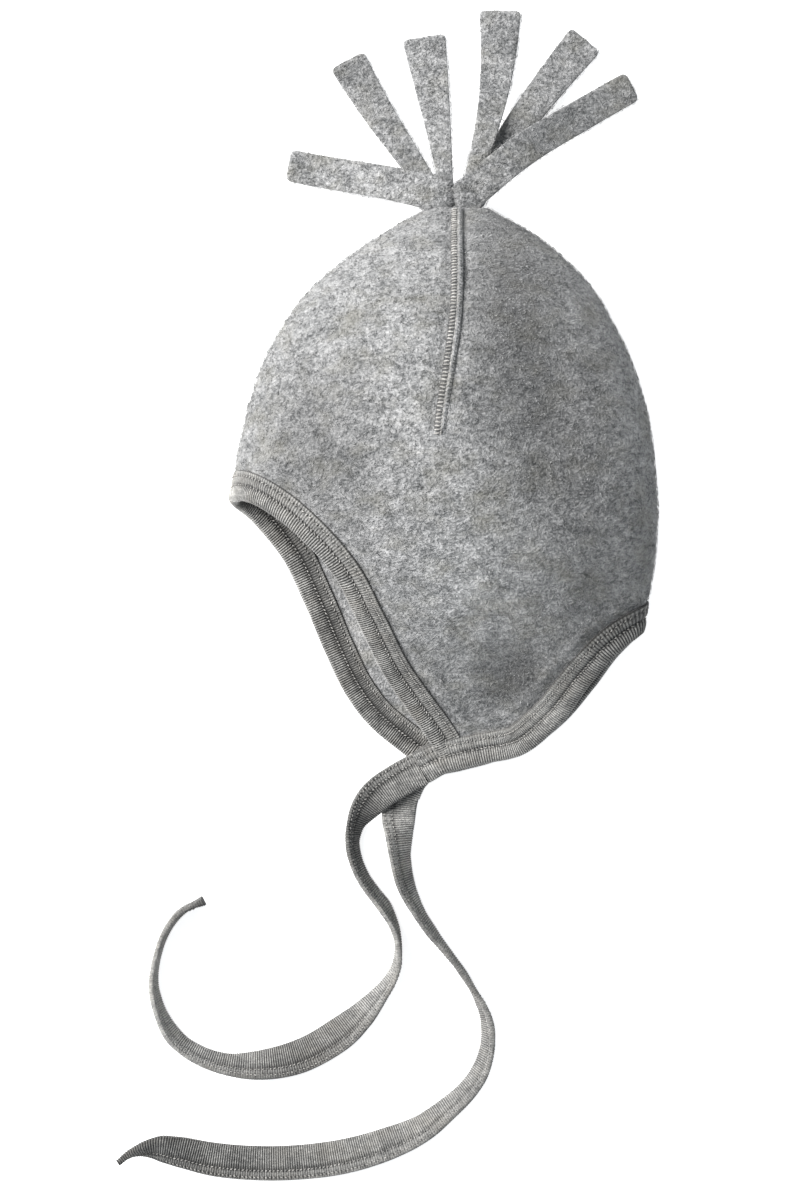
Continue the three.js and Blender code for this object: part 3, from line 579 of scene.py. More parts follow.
def spindles(middle: Array, along: Array, out: Array, half: Array, thick: Array, tone: Array,
             sides: int = 3, rings: int = 1, arch: float = 0.0) -> Shape:
    """Many small spindles: each runs from a point through a few rings to a point.

    The radius follows a half sine along the spindle, and the middle is raised by the arch.

    Args:
        middle: The middle of each.
        along: The direction of each.
        out: The direction in which its middle is raised.
        half: Half the length of each.
        thick: The largest radius of each.
        tone: The tone of each.
        sides: How many sides a ring has.
        rings: How many rings there are between the ends.
        arch: How far the middle is raised, as a share of half the length.

    Returns:
        All of them as one shape.
    """
    count = len(middle)
    aside = unit(np.cross(along, out))
    out = np.cross(aside, along)
    share = np.linspace(-1, 1, rings + 2)
    spine = middle[:, None] + along[:, None] * (half[:, None] * share)[..., None]
    spine = spine + out[:, None] * (arch * half[:, None] * (1 - share**2))[..., None]
    radius = thick[:, None] * np.sqrt(1 - share[1:-1] ** 2 * 0.75)
    angle = np.linspace(0, 2 * np.pi, sides, endpoint=False)
    turn = aside[:, None] * np.cos(angle)[:, None] + out[:, None] * np.sin(angle)[:, None]
    body = spine[:, 1:-1, None] + turn[:, None] * radius[..., None, None]
    each = 2 + rings * sides
    vertices = np.concatenate([spine[:, :1], body.reshape(count, -1, 3), spine[:, -1:]], 1)
    ring = 1 + np.arange(rings * sides).reshape(rings, sides)
    after = np.roll(ring, -1, axis=1)
    fans = [np.stack([np.zeros(sides, int), ring[0], after[0]], -1)]
    fans.append(np.stack([np.full(sides, each - 1), after[-1], ring[-1]], -1))
    start = (np.arange(count) * each)[:, None, None]
    faces = [(np.concatenate(fans)[None] + start).reshape(-1, 3)]
    if rings > 1:
        quads = np.stack([ring[:-1], ring[1:], after[1:], after[:-1]], -1).reshape(-1, 4)
        faces.append((quads[None] + start).reshape(-1, 4))
    return Shape(vertices.reshape(-1, 3), faces, np.repeat(tone, each)).outward()


def nap_over(quads: Array, count: int, up_limit: float, seed: int) -> Shape:
    """Short curved fibres that lie almost flat over a surface.

    Faces are drawn at random by their area, and a fibre is put at a random place in each.

    Args:
        quads: The corners of the faces, as faces by four by three numbers.
        count: How many fibres.
        up_limit: Faces whose normal points further down than this get none.
        seed: The seed of the random numbers.

    Returns:
        The fibres as one shape.
    """
    rng = np.random.default_rng(seed)
    normal = np.cross(quads[:, 2] - quads[:, 0], quads[:, 3] - quads[:, 1])
    area = np.linalg.norm(normal, axis=-1)
    area = area * (normal[:, 2] > up_limit * area)
    pick = rng.choice(len(quads), count, p=area / area.sum())
    u, v = rng.uniform(0, 1, (2, count, 1))
    a, b, c, d = (quads[pick, k] for k in range(4))
    points = (a * (1 - u) + b * u) * (1 - v) + (d * (1 - u) + c * u) * v
    out = unit(normal[pick])
    across = unit(np.cross(out, rng.normal(size=points.shape)))
    along = unit(across + out * rng.uniform(0, 0.5, (count, 1)))
    half = rng.uniform(0.0006, 0.0016, count)
    thick = rng.uniform(0.00007, 0.00014, count)
    tone = rng.uniform(0.2, 0.75, count)
    return spindles(points + out * 0.00022, along, out, half, thick, tone, arch=0.3)


class Finish:
    """Shader pieces shared by the finishes."""

    @staticmethod
    def melange() -> bpy.types.ShaderNodeTree:
        """A node group for mixed light and dark fibres.

        Fine, middle and broad noise, all drawn out across the hat, are added into one share that
        goes from the dark to the light colour, and a slow noise blends in the warm one. Its
        height is the fine noise.

        Returns:
            The group.
        """
        group = bpy.data.node_groups.new("melange", "ShaderNodeTree")
        sockets = group.interface
        sockets.new_socket("Vector", in_out="INPUT", socket_type="NodeSocketVector")
        for name in ("Dark", "Light", "Warm"):
            sockets.new_socket(name, in_out="INPUT", socket_type="NodeSocketColor")
        for name in ("Fibre", "Fine", "Middle", "Broad"):
            sockets.new_socket(name, in_out="INPUT", socket_type="NodeSocketFloat")
        sockets.new_socket("Color", in_out="OUTPUT", socket_type="NodeSocketColor")
        sockets.new_socket("Height", in_out="OUTPUT", socket_type="NodeSocketFloat")
        nodes, links = group.nodes, group.links
        given, out = nodes.new("NodeGroupInput"), nodes.new("NodeGroupOutput")

        lying = nodes.new("ShaderNodeVectorMath")
        lying.operation = "MULTIPLY"
        lying.inputs[1].default_value = (0.8, 1.15, 1.0)
        links.new(given.outputs["Vector"], lying.inputs[0])

        def noise(scale: float | None, detail: float, low: float, high: float) -> bpy.types.NodeSocket:
            """A noise stretched so that low gives zero and high gives one."""
            texture = nodes.new("ShaderNodeTexNoise")
            texture.inputs["Detail"].default_value = detail
            texture.inputs["Roughness"].default_value = 0.6
            links.new(lying.outputs["Vector"], texture.inputs["Vector"])
            if scale is None:
                links.new(given.outputs["Fibre"], texture.inputs["Scale"])
            else:
                texture.inputs["Scale"].default_value = scale
            spread = nodes.new("ShaderNodeMapRange")
            spread.inputs["From Min"].default_value = low
            spread.inputs["From Max"].default_value = high
            links.new(texture.outputs["Fac"], spread.inputs["Value"])
            return spread.outputs["Result"]

        def maths(kind: str, a: bpy.types.NodeSocket, b: bpy.types.NodeSocket) -> bpy.types.NodeSocket:
            """One sum or product."""
            node = nodes.new("ShaderNodeMath")
            node.operation = kind
            links.new(a, node.inputs[0])
            links.new(b, node.inputs[1])
            return node.outputs[0]

        fine = noise(None, 2.0, 0.40, 0.60)
        middle = noise(420.0, 3.0, 0.40, 0.60)
        broad = noise(110.0, 4.0, 0.38, 0.62)
        share = maths("MULTIPLY", fine, given.outputs["Fine"])
        share = maths("ADD", share, maths("MULTIPLY", middle, given.outputs["Middle"]))
        share = maths("ADD", share, maths("MULTIPLY", broad, given.outputs["Broad"]))
        mix = nodes.new("ShaderNodeMix")
        mix.data_type = "RGBA"
        links.new(share, mix.inputs["Factor"])
        links.new(given.outputs["Dark"], mix.inputs["A"])
        links.new(given.outputs["Light"], mix.inputs["B"])
        warm = nodes.new("ShaderNodeMix")
        warm.data_type = "RGBA"
        slow = noise(75.0, 2.0, 0.48, 1.0)
        links.new(slow, warm.inputs["Factor"])
        links.new(mix.outputs["Result"], warm.inputs["A"])
        links.new(given.outputs["Warm"], warm.inputs["B"])
        links.new(warm.outputs["Result"], out.inputs["Color"])
        links.new(fine, out.inputs["Height"])
        return group


@dataclass(frozen=True)
class Cloth:
    """A matt woollen finish of mixed fibres.

    The tone of each vertex, which is 0.5 where nothing darkens or lightens it, scales the colour. It
    carries painted light and shade as well as the cloth's own differences of tone.
    """

    name: str
    dark: tuple[float, float, float]
    light: tuple[float, float, float]
    warm: tuple[float, float, float]
    fibre: float = 1000.0
    fine: float = 0.36
    middle: float = 0.36
    broad: float = 0.28
    tone_low: float = 0.1
    tone_high: float = 1.8
    relief: float = 0.0006
    roughness: float = 0.92
    sheen: float = 0.25

    def material(self, melange: bpy.types.ShaderNodeTree) -> bpy.types.Material:
        """The finish as a material.

        Args:
            melange: The node group of mixed fibres.

        Returns:
            The material.
        """
        made = bpy.data.materials.new(self.name)
        made.use_nodes = True
        nodes, links = made.node_tree.nodes, made.node_tree.links
        shader = nodes["Principled BSDF"]
        place = nodes.new("ShaderNodeTexCoord")
        wool = nodes.new("ShaderNodeGroup")
        wool.node_tree = melange
        links.new(place.outputs["Object"], wool.inputs["Vector"])
        for socket, colour in (("Dark", self.dark), ("Light", self.light), ("Warm", self.warm)):
            wool.inputs[socket].default_value = (*colour, 1.0)
        parts = (("Fibre", self.fibre), ("Fine", self.fine), ("Middle", self.middle))
        for socket, value in (*parts, ("Broad", self.broad)):
            wool.inputs[socket].default_value = value
        tone = nodes.new("ShaderNodeAttribute")
        tone.attribute_name = "tone"
        scale = nodes.new("ShaderNodeMapRange")
        scale.inputs["To Min"].default_value = self.tone_low
        scale.inputs["To Max"].default_value = self.tone_high
        links.new(tone.outputs["Fac"], scale.inputs["Value"])
        tint = nodes.new("ShaderNodeMix")
        tint.data_type = "RGBA"
        tint.blend_type = "MULTIPLY"
        tint.inputs["Factor"].default_value = 1.0
        links.new(wool.outputs["Color"], tint.inputs["A"])
        links.new(scale.outputs["Result"], tint.inputs["B"])
        links.new(tint.outputs["Result"], shader.inputs["Base Color"])
        bump = nodes.new("ShaderNodeBump")
        bump.inputs["Distance"].default_value = self.relief
        bump.inputs["Strength"].default_value = 0.6
        links.new(wool.outputs["Height"], bump.inputs["Height"])
        links.new(bump.outputs["Normal"], shader.inputs["Normal"])
        shader.inputs["Roughness"].default_value = self.roughness
        shader.inputs["Specular IOR Level"].default_value = 0.15
        shader.inputs["Sheen Weight"].default_value = self.sheen
        shader.inputs["Sheen Roughness"].default_value = 0.6
        return made


@dataclass(frozen=True)
class Fleece:
    """The hollow fleece body, with its nap of short fibres."""

    form: HatForm
    inset: float = 0.002
    near_spacing: float = 0.00125
    far_spacing: float = 0.0036
    outside_rows: int = 190
    inside_rows: int = 70
    binding_width: float = 0.0155
    puff: float = 0.0009
    lumps: tuple[tuple[float, float, int], ...] = (
        (0.0007, 0.024, 1),
        (0.00028, 0.009, 2),
        (0.00012, 0.0032, 3),
    )
    nap_count: int = 27000

    def columns(self) -> tuple[Places, Array]:
        """Places all round the finished edge, closer on the near side, and the ways inward."""

        def closer(around: Array) -> Array:
            """The distance between columns from the angle about the head."""
            sine = np.sin(np.radians(around))
            fold = 0.55 + 0.45 * np.clip(np.abs(sine) * 4, 0, 1)
            return fold * np.where(sine > -0.05, self.near_spacing, self.far_spacing)

        face = self.form.edge_stations(FACE_EDGE, 0, -1, closer)
        neck = self.form.edge_stations(NECK_EDGE, 360, 1, closer)
        # The neck's outermost stations lie on those of the face, and are left out.
        keep = slice(11, len(neck.run) - 5)
        places = Places(
            np.concatenate([face.places.around, neck.places.around[keep][::-1]]),
            np.concatenate([face.places.y, neck.places.y[keep][::-1]]),
        )
        return places, np.concatenate([face.inward, neck.inward[keep][::-1]])

    def rows(self, count: int, inside: bool) -> Places:
        """The grid of places from the crown end down to the raw edge.

        Args:
            count: How many rows below the first.
            inside: Whether the rows stop short of the crown end by the thickness.

        Returns:
            The places, as rows by columns.
        """
        edge, _ = self.form.walk(*self.columns(), self.inset)
        top = self.form.crown_height - (self.form.fleece if inside else 0)
        share = (np.linspace(0, 1, count + 1) ** 1.1)[:, None]
        y = top + (edge.y - top) * share
        return Places(np.broadcast_to(edge.around, y.shape), y)

    @staticmethod
    def from_edge(points: Array) -> Array:
        """How far each point is from the nearest point of the last row, the raw edge."""
        edge = points[-1, ::2]
        square = np.sum(edge**2, -1)
        gaps = [np.min(np.sum(row**2, -1)[:, None] + square - 2 * row @ edge.T, -1) for row in points]
        return np.sqrt(np.maximum(gaps, 0))

    def relief(self, places: Places, points: Array) -> Array:
        """How far the near side stands off its smooth form.

        Soft lumps of three sizes, a dip beside the dart seam, and a roll where the fleece swells
        out of its binding, by distance from the raw edge.

        Args:
            places: The grid of places.
            points: The same places in space.

        Returns:
            A height for each.
        """
        lumps = sum(high * soft_noise(points, size, seed) for high, size, seed in self.lumps)
        beyond = self.from_edge(points) - self.binding_width + self.inset
        swell = self.puff * bell(beyond - 0.0045, 0.0035)
        beside = np.abs(points[..., 0] - self.form.dart_x(points[..., 1]))
        on_dart = ease((points[..., 1] - 0.015) / 0.012)
        dip = 0.0005 * bell(beside - 0.0034, 0.0013) * on_dart
        roll = 0.0005 * bell(beside - 0.0085, 0.0035) * on_dart
        free = ease((beyond - 0.0005) / 0.005)
        upper = ease((np.sin(np.radians(places.around)) + 0.1) / 0.25)
        return (lumps + swell + roll - dip) * free * upper

    def shape(self) -> Shape:
        """The closed shell: down the outside to the raw edge and back up the inside."""
        outside = self.rows(self.outside_rows, False)
        points = self.form.surface(outside)
        out = self.form.frame_at(outside)[2]
        points = points + out * self.relief(outside, points)[..., None]
        inside = self.rows(self.inside_rows, True)
        lining = self.form.off_surface(inside, -self.form.fleece)[::-1]
        lining = lining + 0.0003 * soft_noise(lining, 0.006, seed=5)[..., None] * (0, 0, 1)
        rings = above_floor(np.concatenate([points, lining]), FLOOR_GAP)
        shades = self.form.shades(points[..., 0], points[..., 1])
        tone = np.full(rings.shape[:2], PLAIN_TONE)
        # The near side takes the patches' tone, which paints light and shade as well as mottling.
        tone[: len(points)] += shades * ease(np.sin(np.radians(outside.around)) * 8)
        return Shape.of_grid(rings, tone).outward()

    def nap(self, shell: Shape) -> Shape:
        """Short curved fibres that lie almost flat on the outside.

        Args:
            shell: The shell that they stand on.

        Returns:
            The fibres as one shape.
        """
        outside = self.outside_rows * len(self.columns()[1])
        return nap_over(shell.vertices[shell.faces[0][:outside]], self.nap_count, -0.5, 11)


@dataclass(frozen=True)
class Binding:
    """A tape of rib knit folded over an edge and held by two rows of stitches."""

    form: HatForm
    rows: Array
    past: float
    turn: int
    width: float = 0.0155
    half: float = 0.0027
    inner_half: float = 0.00125
    spacing: float = 0.00021
    rib_pitch: float = 0.00105
    rib_depth: float = 0.00026
    inner_row: float = 0.83
    outer_row: float = 0.53
    stitch_pitch: float = 0.0017
    stitch_thick: float = 0.00028
    stitch_clear: float = 0.0005
    floor_gap: float = 0.00015
    end_share: float = 0.6
    end_reach: float = 0.010
    near_inset: float = 0.0
    # Painted light and shade at even steps along the tape.
    shades: tuple[float, ...] = (0.0, 0.0)

    def stations(self) -> Stations:
        """Stations a fifth of a millimetre apart, so that each rib has five.

        On the near side they are set in from the finished edge, and the inset starts smoothly.
        """
        made = self.form.edge_stations(
            self.rows, self.past, self.turn, lambda around: np.full(len(around), self.spacing)
        )
        inset = self.near_inset * ease(np.sin(np.radians(made.places.around)) * 2.5)
        places, inward = self.form.walk(made.places, made.inward, inset)
        return Stations(places, made.ahead, inward, made.run)

    def face(self) -> tuple[Array, Array]:
        """Half the profile, from the open end to the fold: distances in, and half thicknesses.

        A low step at the open end, a stitched band with a furrow at each row of stitches, a soft
        roll over the folded part, and a quarter round at the fold.
        """
        share, high = np.array([
            (1.0, 0.58), (0.985, 0.74), (0.95, 0.80), (0.89, 0.80), (0.83, 0.70), (0.77, 0.80),
            (0.70, 0.83), (0.62, 0.76), (0.575, 0.64), (0.53, 0.58), (0.47, 0.80), (0.40, 0.95),
            (0.31, 1.0), (0.22, 0.98),
        ]).T
        round_off = np.radians([66.0, 42.0, 20.0])
        inward = np.concatenate([share * self.width, self.half * (1 - np.cos(round_off))])
        return inward, np.concatenate([high, np.sin(round_off) * 0.97]) * self.half

    def slim(self, run: Array) -> Array:
        """The share of its thickness that the tape keeps, which is less near its ends."""
        near_end = ease(np.minimum(run, run[-1] - run) / self.end_reach)
        return self.end_share + (1 - self.end_share) * near_end

    def shape(self) -> Shape:
        """The folded tape as a closed body with a rib every pitch along it.

        The ribs are a raised cosine along the edge that fades towards the open end.

        Returns:
            The shape.
        """
        stations = self.stations()
        inward, high = self.face()
        places, way, at = stations.places, stations.inward, 0.0
        spots = {}
        for distance in sorted(set(inward.tolist())):
            places, way = self.form.walk(places, way, distance - at)
            at = distance
            base, out = self.form.surface(places), self.form.frame_at(places)[2]
            spots[distance] = (base - out * self.form.fleece / 2, out)
        middle, out = (np.stack([spots[d][k] for d in inward.tolist()], 1) for k in (0, 1))
        edge = self.form.surface(stations.places)[:, None]
        edge = edge - self.form.frame_at(stations.places)[2][:, None] * self.form.fleece / 2
        wave = np.cos(2 * np.pi * stations.run / self.rib_pitch)
        wander = 0.25 * soft_noise(edge[:, 0], 0.004, seed=7)
        strength = np.interp(inward / self.width, [0, 0.45, 0.55, 0.95, 1], [1, 1, 0.6, 0.5, 0.2])
        rib = (wave + wander)[:, None] * strength
        lift = self.rib_depth * rib + 0.0002 * soft_noise(middle, 0.005, seed=8)
        rise = high * self.slim(stations.run)[:, None] + lift
        upper = middle + out * rise[..., None]
        lower = middle - out * rise[..., None]
        # The inside follows only four of the profile's points.
        inner = [0, 4, 9, 13]
        hollow = self.inner_half * (2 * self.slim(stations.run) - 1)[:, None, None]
        inside_low = (middle - out * hollow)[:, inner]
        inside_high = (middle + out * hollow)[:, inner][:, ::-1]
        ring = np.concatenate([upper, edge, lower[:, ::-1], inside_low, inside_high], 1)
        ring = above_floor(ring, self.floor_gap)
        share = inward / self.width
        # The tone paints shade into the rib troughs, the needle holes, the furrows and the open end, and
        # paints highlights on the rib crests, on the ridge by the open end and along the fold.
        rows = sum(bell(share - row, 0.04) for row in (self.inner_row, self.outer_row))
        hole_shade = 0.5 - 0.5 * np.cos(2 * np.pi * stations.run / self.stitch_pitch)[:, None]
        groove_shade = bell(share - 0.55, 0.05) + 0.7 * bell(share - 0.13, 0.05)
        rim_highlight = bell(share - 0.93, 0.03) + 1.4 * bell(share, 0.04)
        # The far band lies in shade behind its fold.
        away = ease(-3 * np.sin(np.radians(stations.places.around)))[:, None]
        along = painted_shading_along(stations.run, self.shades) - 0.3 * away * bell(share - 0.56, 0.16)
        tone = PLAIN_TONE + 0.5 * rib - 0.55 * rows * hole_shade - 0.26 * groove_shade + 0.18 * rim_highlight
        tone = tone - 0.4 * (share > 0.97) + along
        # The faces inside the fold, against the fleece, are painted dark as shade, and the fold line pale
        # as a highlight.
        side = np.full((len(ring), 2 * len(inner)), 0.25)
        fold = 0.7 + 0.1 * wave[:, None] + along[:, -1:]
        tone = np.concatenate([tone, fold, tone[:, ::-1], side], 1)
        return Shape.of_grid(ring, tone).outward()

    def stitches(self) -> Shape:
        """Two rows of slanted stitches on both faces, but for those too close to the floor."""
        stations = self.stations()
        count = int(stations.run[-1] / self.stitch_pitch)
        picks = np.linspace(3, len(stations.run) - 4, count).astype(int)
        places = Places(stations.places.around[picks], stations.places.y[picks])
        slim = self.slim(stations.run)[picks][:, None]
        rng = np.random.default_rng(21)
        shapes = []
        for row, slant in ((self.inner_row, 0.55), (self.outer_row, -0.55)):
            spot, _ = self.form.walk(places, stations.inward[picks], row * self.width)
            out = self.form.frame_at(spot)[2]
            middle = self.form.surface(spot) - out * self.form.fleece / 2
            ahead = stations.ahead[picks]
            ahead = unit(ahead - out * np.sum(ahead * out, -1, keepdims=True))
            across = np.cross(out, ahead)
            for face in (1, -1):
                along = unit(ahead + across * slant)
                lift = self.half * 0.74 * slim + rng.normal(0, 0.00004, (count, 1))
                tone = rng.uniform(0.28, 0.6, count)
                half = rng.uniform(0.0007, 0.0009, count)
                thick = np.full(count, self.stitch_thick)
                up = out * face
                centre = middle + up * lift
                clear = centre[:, 2] > self.stitch_clear
                parts = (v[clear] for v in (centre, along, up, half, thick, tone))
                shapes.append(spindles(*parts, sides=4, rings=2, arch=0.3))
        return Shape.joined(shapes)


@dataclass(frozen=True)
class Tie:
    """A long flat strap of folded rib-knit tape, rolled about its route as it lies."""

    route: Array
    end_reach: float
    end_width: float
    end_thick: float
    # Painted light and shade at even steps along the tape.
    shades: tuple[float, ...]
    width: float = 0.0155
    thick: float = 0.0032
    spacing: float = 0.00022
    rib_pitch: float = 0.00105
    rib_depth: float = 0.00024
    stitch_rows: tuple[float, float] = (0.42, 0.82)
    stitch_pitch: float = 0.0017
    stitch_thick: float = 0.00027
    start_share: float = 0.35
    start_reach: float = 0.006
    lead: float = 0.0

    def line(self, spacing: float) -> tuple[Array, Array, Array, Array]:
        """The middle of the tape at even steps, with its directions.

        The roll turns the tape about its route, and the middle stands above the floor by the
        clear height and half of what the rolled section is high. A straight lead comes before
        the route.

        Args:
            spacing: The distance between steps.

        Returns:
            The middles, the directions ahead, across and out of the tape.
        """
        t = np.linspace(0, 1, 1200)
        flat = through_points(self.route[:, :2] * 1000, t) / 1000
        turn = through_points(self.route[:, 2:] * (1000, 1), t) * (0.001, 1)
        run = run_along(flat)
        steps = np.linspace(-self.lead, run[-1], int((run[-1] + self.lead) / spacing) + 1)
        x, y, lift, roll = (np.interp(steps, run, v) for v in (*flat.T, *turn.T))
        middle = np.column_stack([x, y, np.zeros(len(x))])
        middle[:, :2] += np.minimum(steps, 0)[:, None] * unit(flat[1] - flat[0])
        ahead = unit(np.gradient(middle, axis=0))
        right = unit(np.cross(ahead, (0, 0, 1)))
        c, s = np.cos(np.radians(roll))[:, None], np.sin(np.radians(roll))[:, None]
        across = right * c + np.array((0, 0, 1)) * s
        out = -right * s + np.array((0, 0, 1)) * c
        high = (self.width * np.abs(across[:, 2]) + self.thick * np.abs(out[:, 2])) / 2
        middle[:, 2] = np.maximum(lift, 0) + high
        return middle, ahead, across, out

    def profile(self) -> tuple[Array, Array]:
        """Half of the section: places across from -1 to 1, and half thicknesses as shares.

        The folded side is a plump roll, and the stitched side is thinner with two furrows.
        """
        place, high = np.array([
            (-1, 0.0), (-0.96, 0.5), (-0.85, 0.86), (-0.66, 1.0), (-0.42, 0.98), (-0.15, 0.90),
            (0.1, 0.80), (0.30, 0.58), (0.42, 0.50), (0.56, 0.70), (0.70, 0.68), (0.82, 0.50),
            (0.93, 0.62), (0.985, 0.42), (1, 0.0),
        ]).T
        return place, high

    def size_at(self, run: Array, line_length: float) -> tuple[Array, Array]:
        """The width and thickness along the tape, which change towards its ends."""
        left = ease((line_length - run) / self.end_reach)
        width = self.width * (self.end_width + (1 - self.end_width) * left)
        thick = self.thick * (self.end_thick + (1 - self.end_thick) * left)
        start = self.start_share + (1 - self.start_share) * ease(run / self.start_reach)
        return width, thick * start

    def shape(self) -> Shape:
        """The strap as a closed body with a rib every pitch along it."""
        middle, _, across, out = self.line(self.spacing)
        run = run_along(middle)
        width, thick = self.size_at(run, run[-1])
        place, high = self.profile()
        wave = np.cos(2 * np.pi * run / self.rib_pitch) + 0.25 * soft_noise(middle, 0.004, seed=31)
        strength = np.interp(place, [-1, 0.15, 0.35, 0.9, 1], [1, 1, 0.6, 0.5, 0.3])
        rib = wave[:, None] * strength
        uneven = 0.0002 * soft_noise(middle, 0.006, seed=32)[:, None]
        lift = (self.rib_depth * rib + uneven) * (high > 0)
        base = middle[:, None] + across[:, None] * (place * width[:, None] / 2)[..., None]
        rise = high * thick[:, None] / 2 + lift
        upper = base + out[:, None] * rise[..., None]
        lower = base - out[:, None] * rise[..., None]
        ring = np.concatenate([upper, lower[:, -2:0:-1]], 1)
        # The tone paints shade into the rib troughs, the needle holes, the furrows and along the folded
        # edge, and highlights on the rib crests.
        rows = sum(bell(place - row, 0.08) for row in self.stitch_rows)
        hole_shade = 0.5 - 0.5 * np.cos(2 * np.pi * run / self.stitch_pitch)[:, None]
        furrow = bell(place - 0.32, 0.1) + bell(place + 1, 0.1)
        along = painted_shading_along(run, self.shades)
        tone = 0.52 + along + 0.42 * rib - 0.5 * rows * hole_shade - 0.25 * furrow
        tone = np.concatenate([tone, tone[:, -2:0:-1]], 1)
        return Shape.of_grid(above_floor(ring, FLOOR_GAP), tone).outward()

    def stitches(self) -> Shape:
        """Two rows of slanted stitches on both faces of the strap."""
        middle, ahead, across, out = self.line(self.stitch_pitch)
        keep = slice(2, len(middle) - 3)
        run = run_along(middle)[keep]
        width, thick = self.size_at(run, run[-1])
        rng = np.random.default_rng(22)
        shapes = []
        for row, slant in zip(self.stitch_rows, (0.5, -0.5)):
            for face in (1, -1):
                up = out[keep] * face
                spot = middle[keep] + across[keep] * (row * width / 2)[:, None]
                spot = spot + up * (thick * 0.27)[:, None]
                along = unit(ahead[keep] + across[keep] * slant)
                half = rng.uniform(0.00068, 0.00088, len(run))
                tone = rng.uniform(0.28, 0.6, len(run))
                small = np.full(len(run), self.stitch_thick)
                shapes.append(
                    spindles(spot, along, up, half, small, tone, sides=4, rings=2, arch=0.3)
                )
        return Shape.joined(shapes)

    def path(self) -> list[list[float]]:
        """The middle of the tape at steps of four millimetres."""
        return self.line(0.004)[0].tolist()


@dataclass(frozen=True)
class Strip:
    """One strip of the tuft: its root, heading and bend in degrees, sizes, lean and tone."""

    root: tuple[float, float, float]
    heading: float
    bend: float
    length: float
    root_width: float
    width: float
    hump: float
    lean: float
    tone: float


# The last column is each strip's tone. The middle back strip, at 0.40, is painted darker as the shade it
# lies in between the strips beside it.
FRONT_STRIPS = (
    Strip((-0.0020, 0.1298, 0.0180), 167, 2, 0.0712, 0.0152, 0.0142, 0.0015, 8, 0.50),
    Strip((-0.0040, 0.1275, 0.0172), 122, -3, 0.0772, 0.0083, 0.0172, 0.0015, -6, 0.43),
    Strip((0.0004, 0.1262, 0.0176), 98, 1, 0.0782, 0.0046, 0.0198, 0.0020, 0, 0.50),
)
BACK_STRIPS = (
    Strip((0.0065, 0.1262, 0.0195), 79, 11, 0.0915, 0.0052, 0.0190, 0.0035, 0, 0.48),
    Strip((0.0105, 0.1280, 0.0150), 55, -6, 0.0905, 0.0090, 0.0174, 0.0, 6, 0.40),
    Strip((0.0065, 0.1275, 0.0195), 35, -7, 0.0940, 0.0148, 0.0140, 0.0070, -10, 0.42),
)


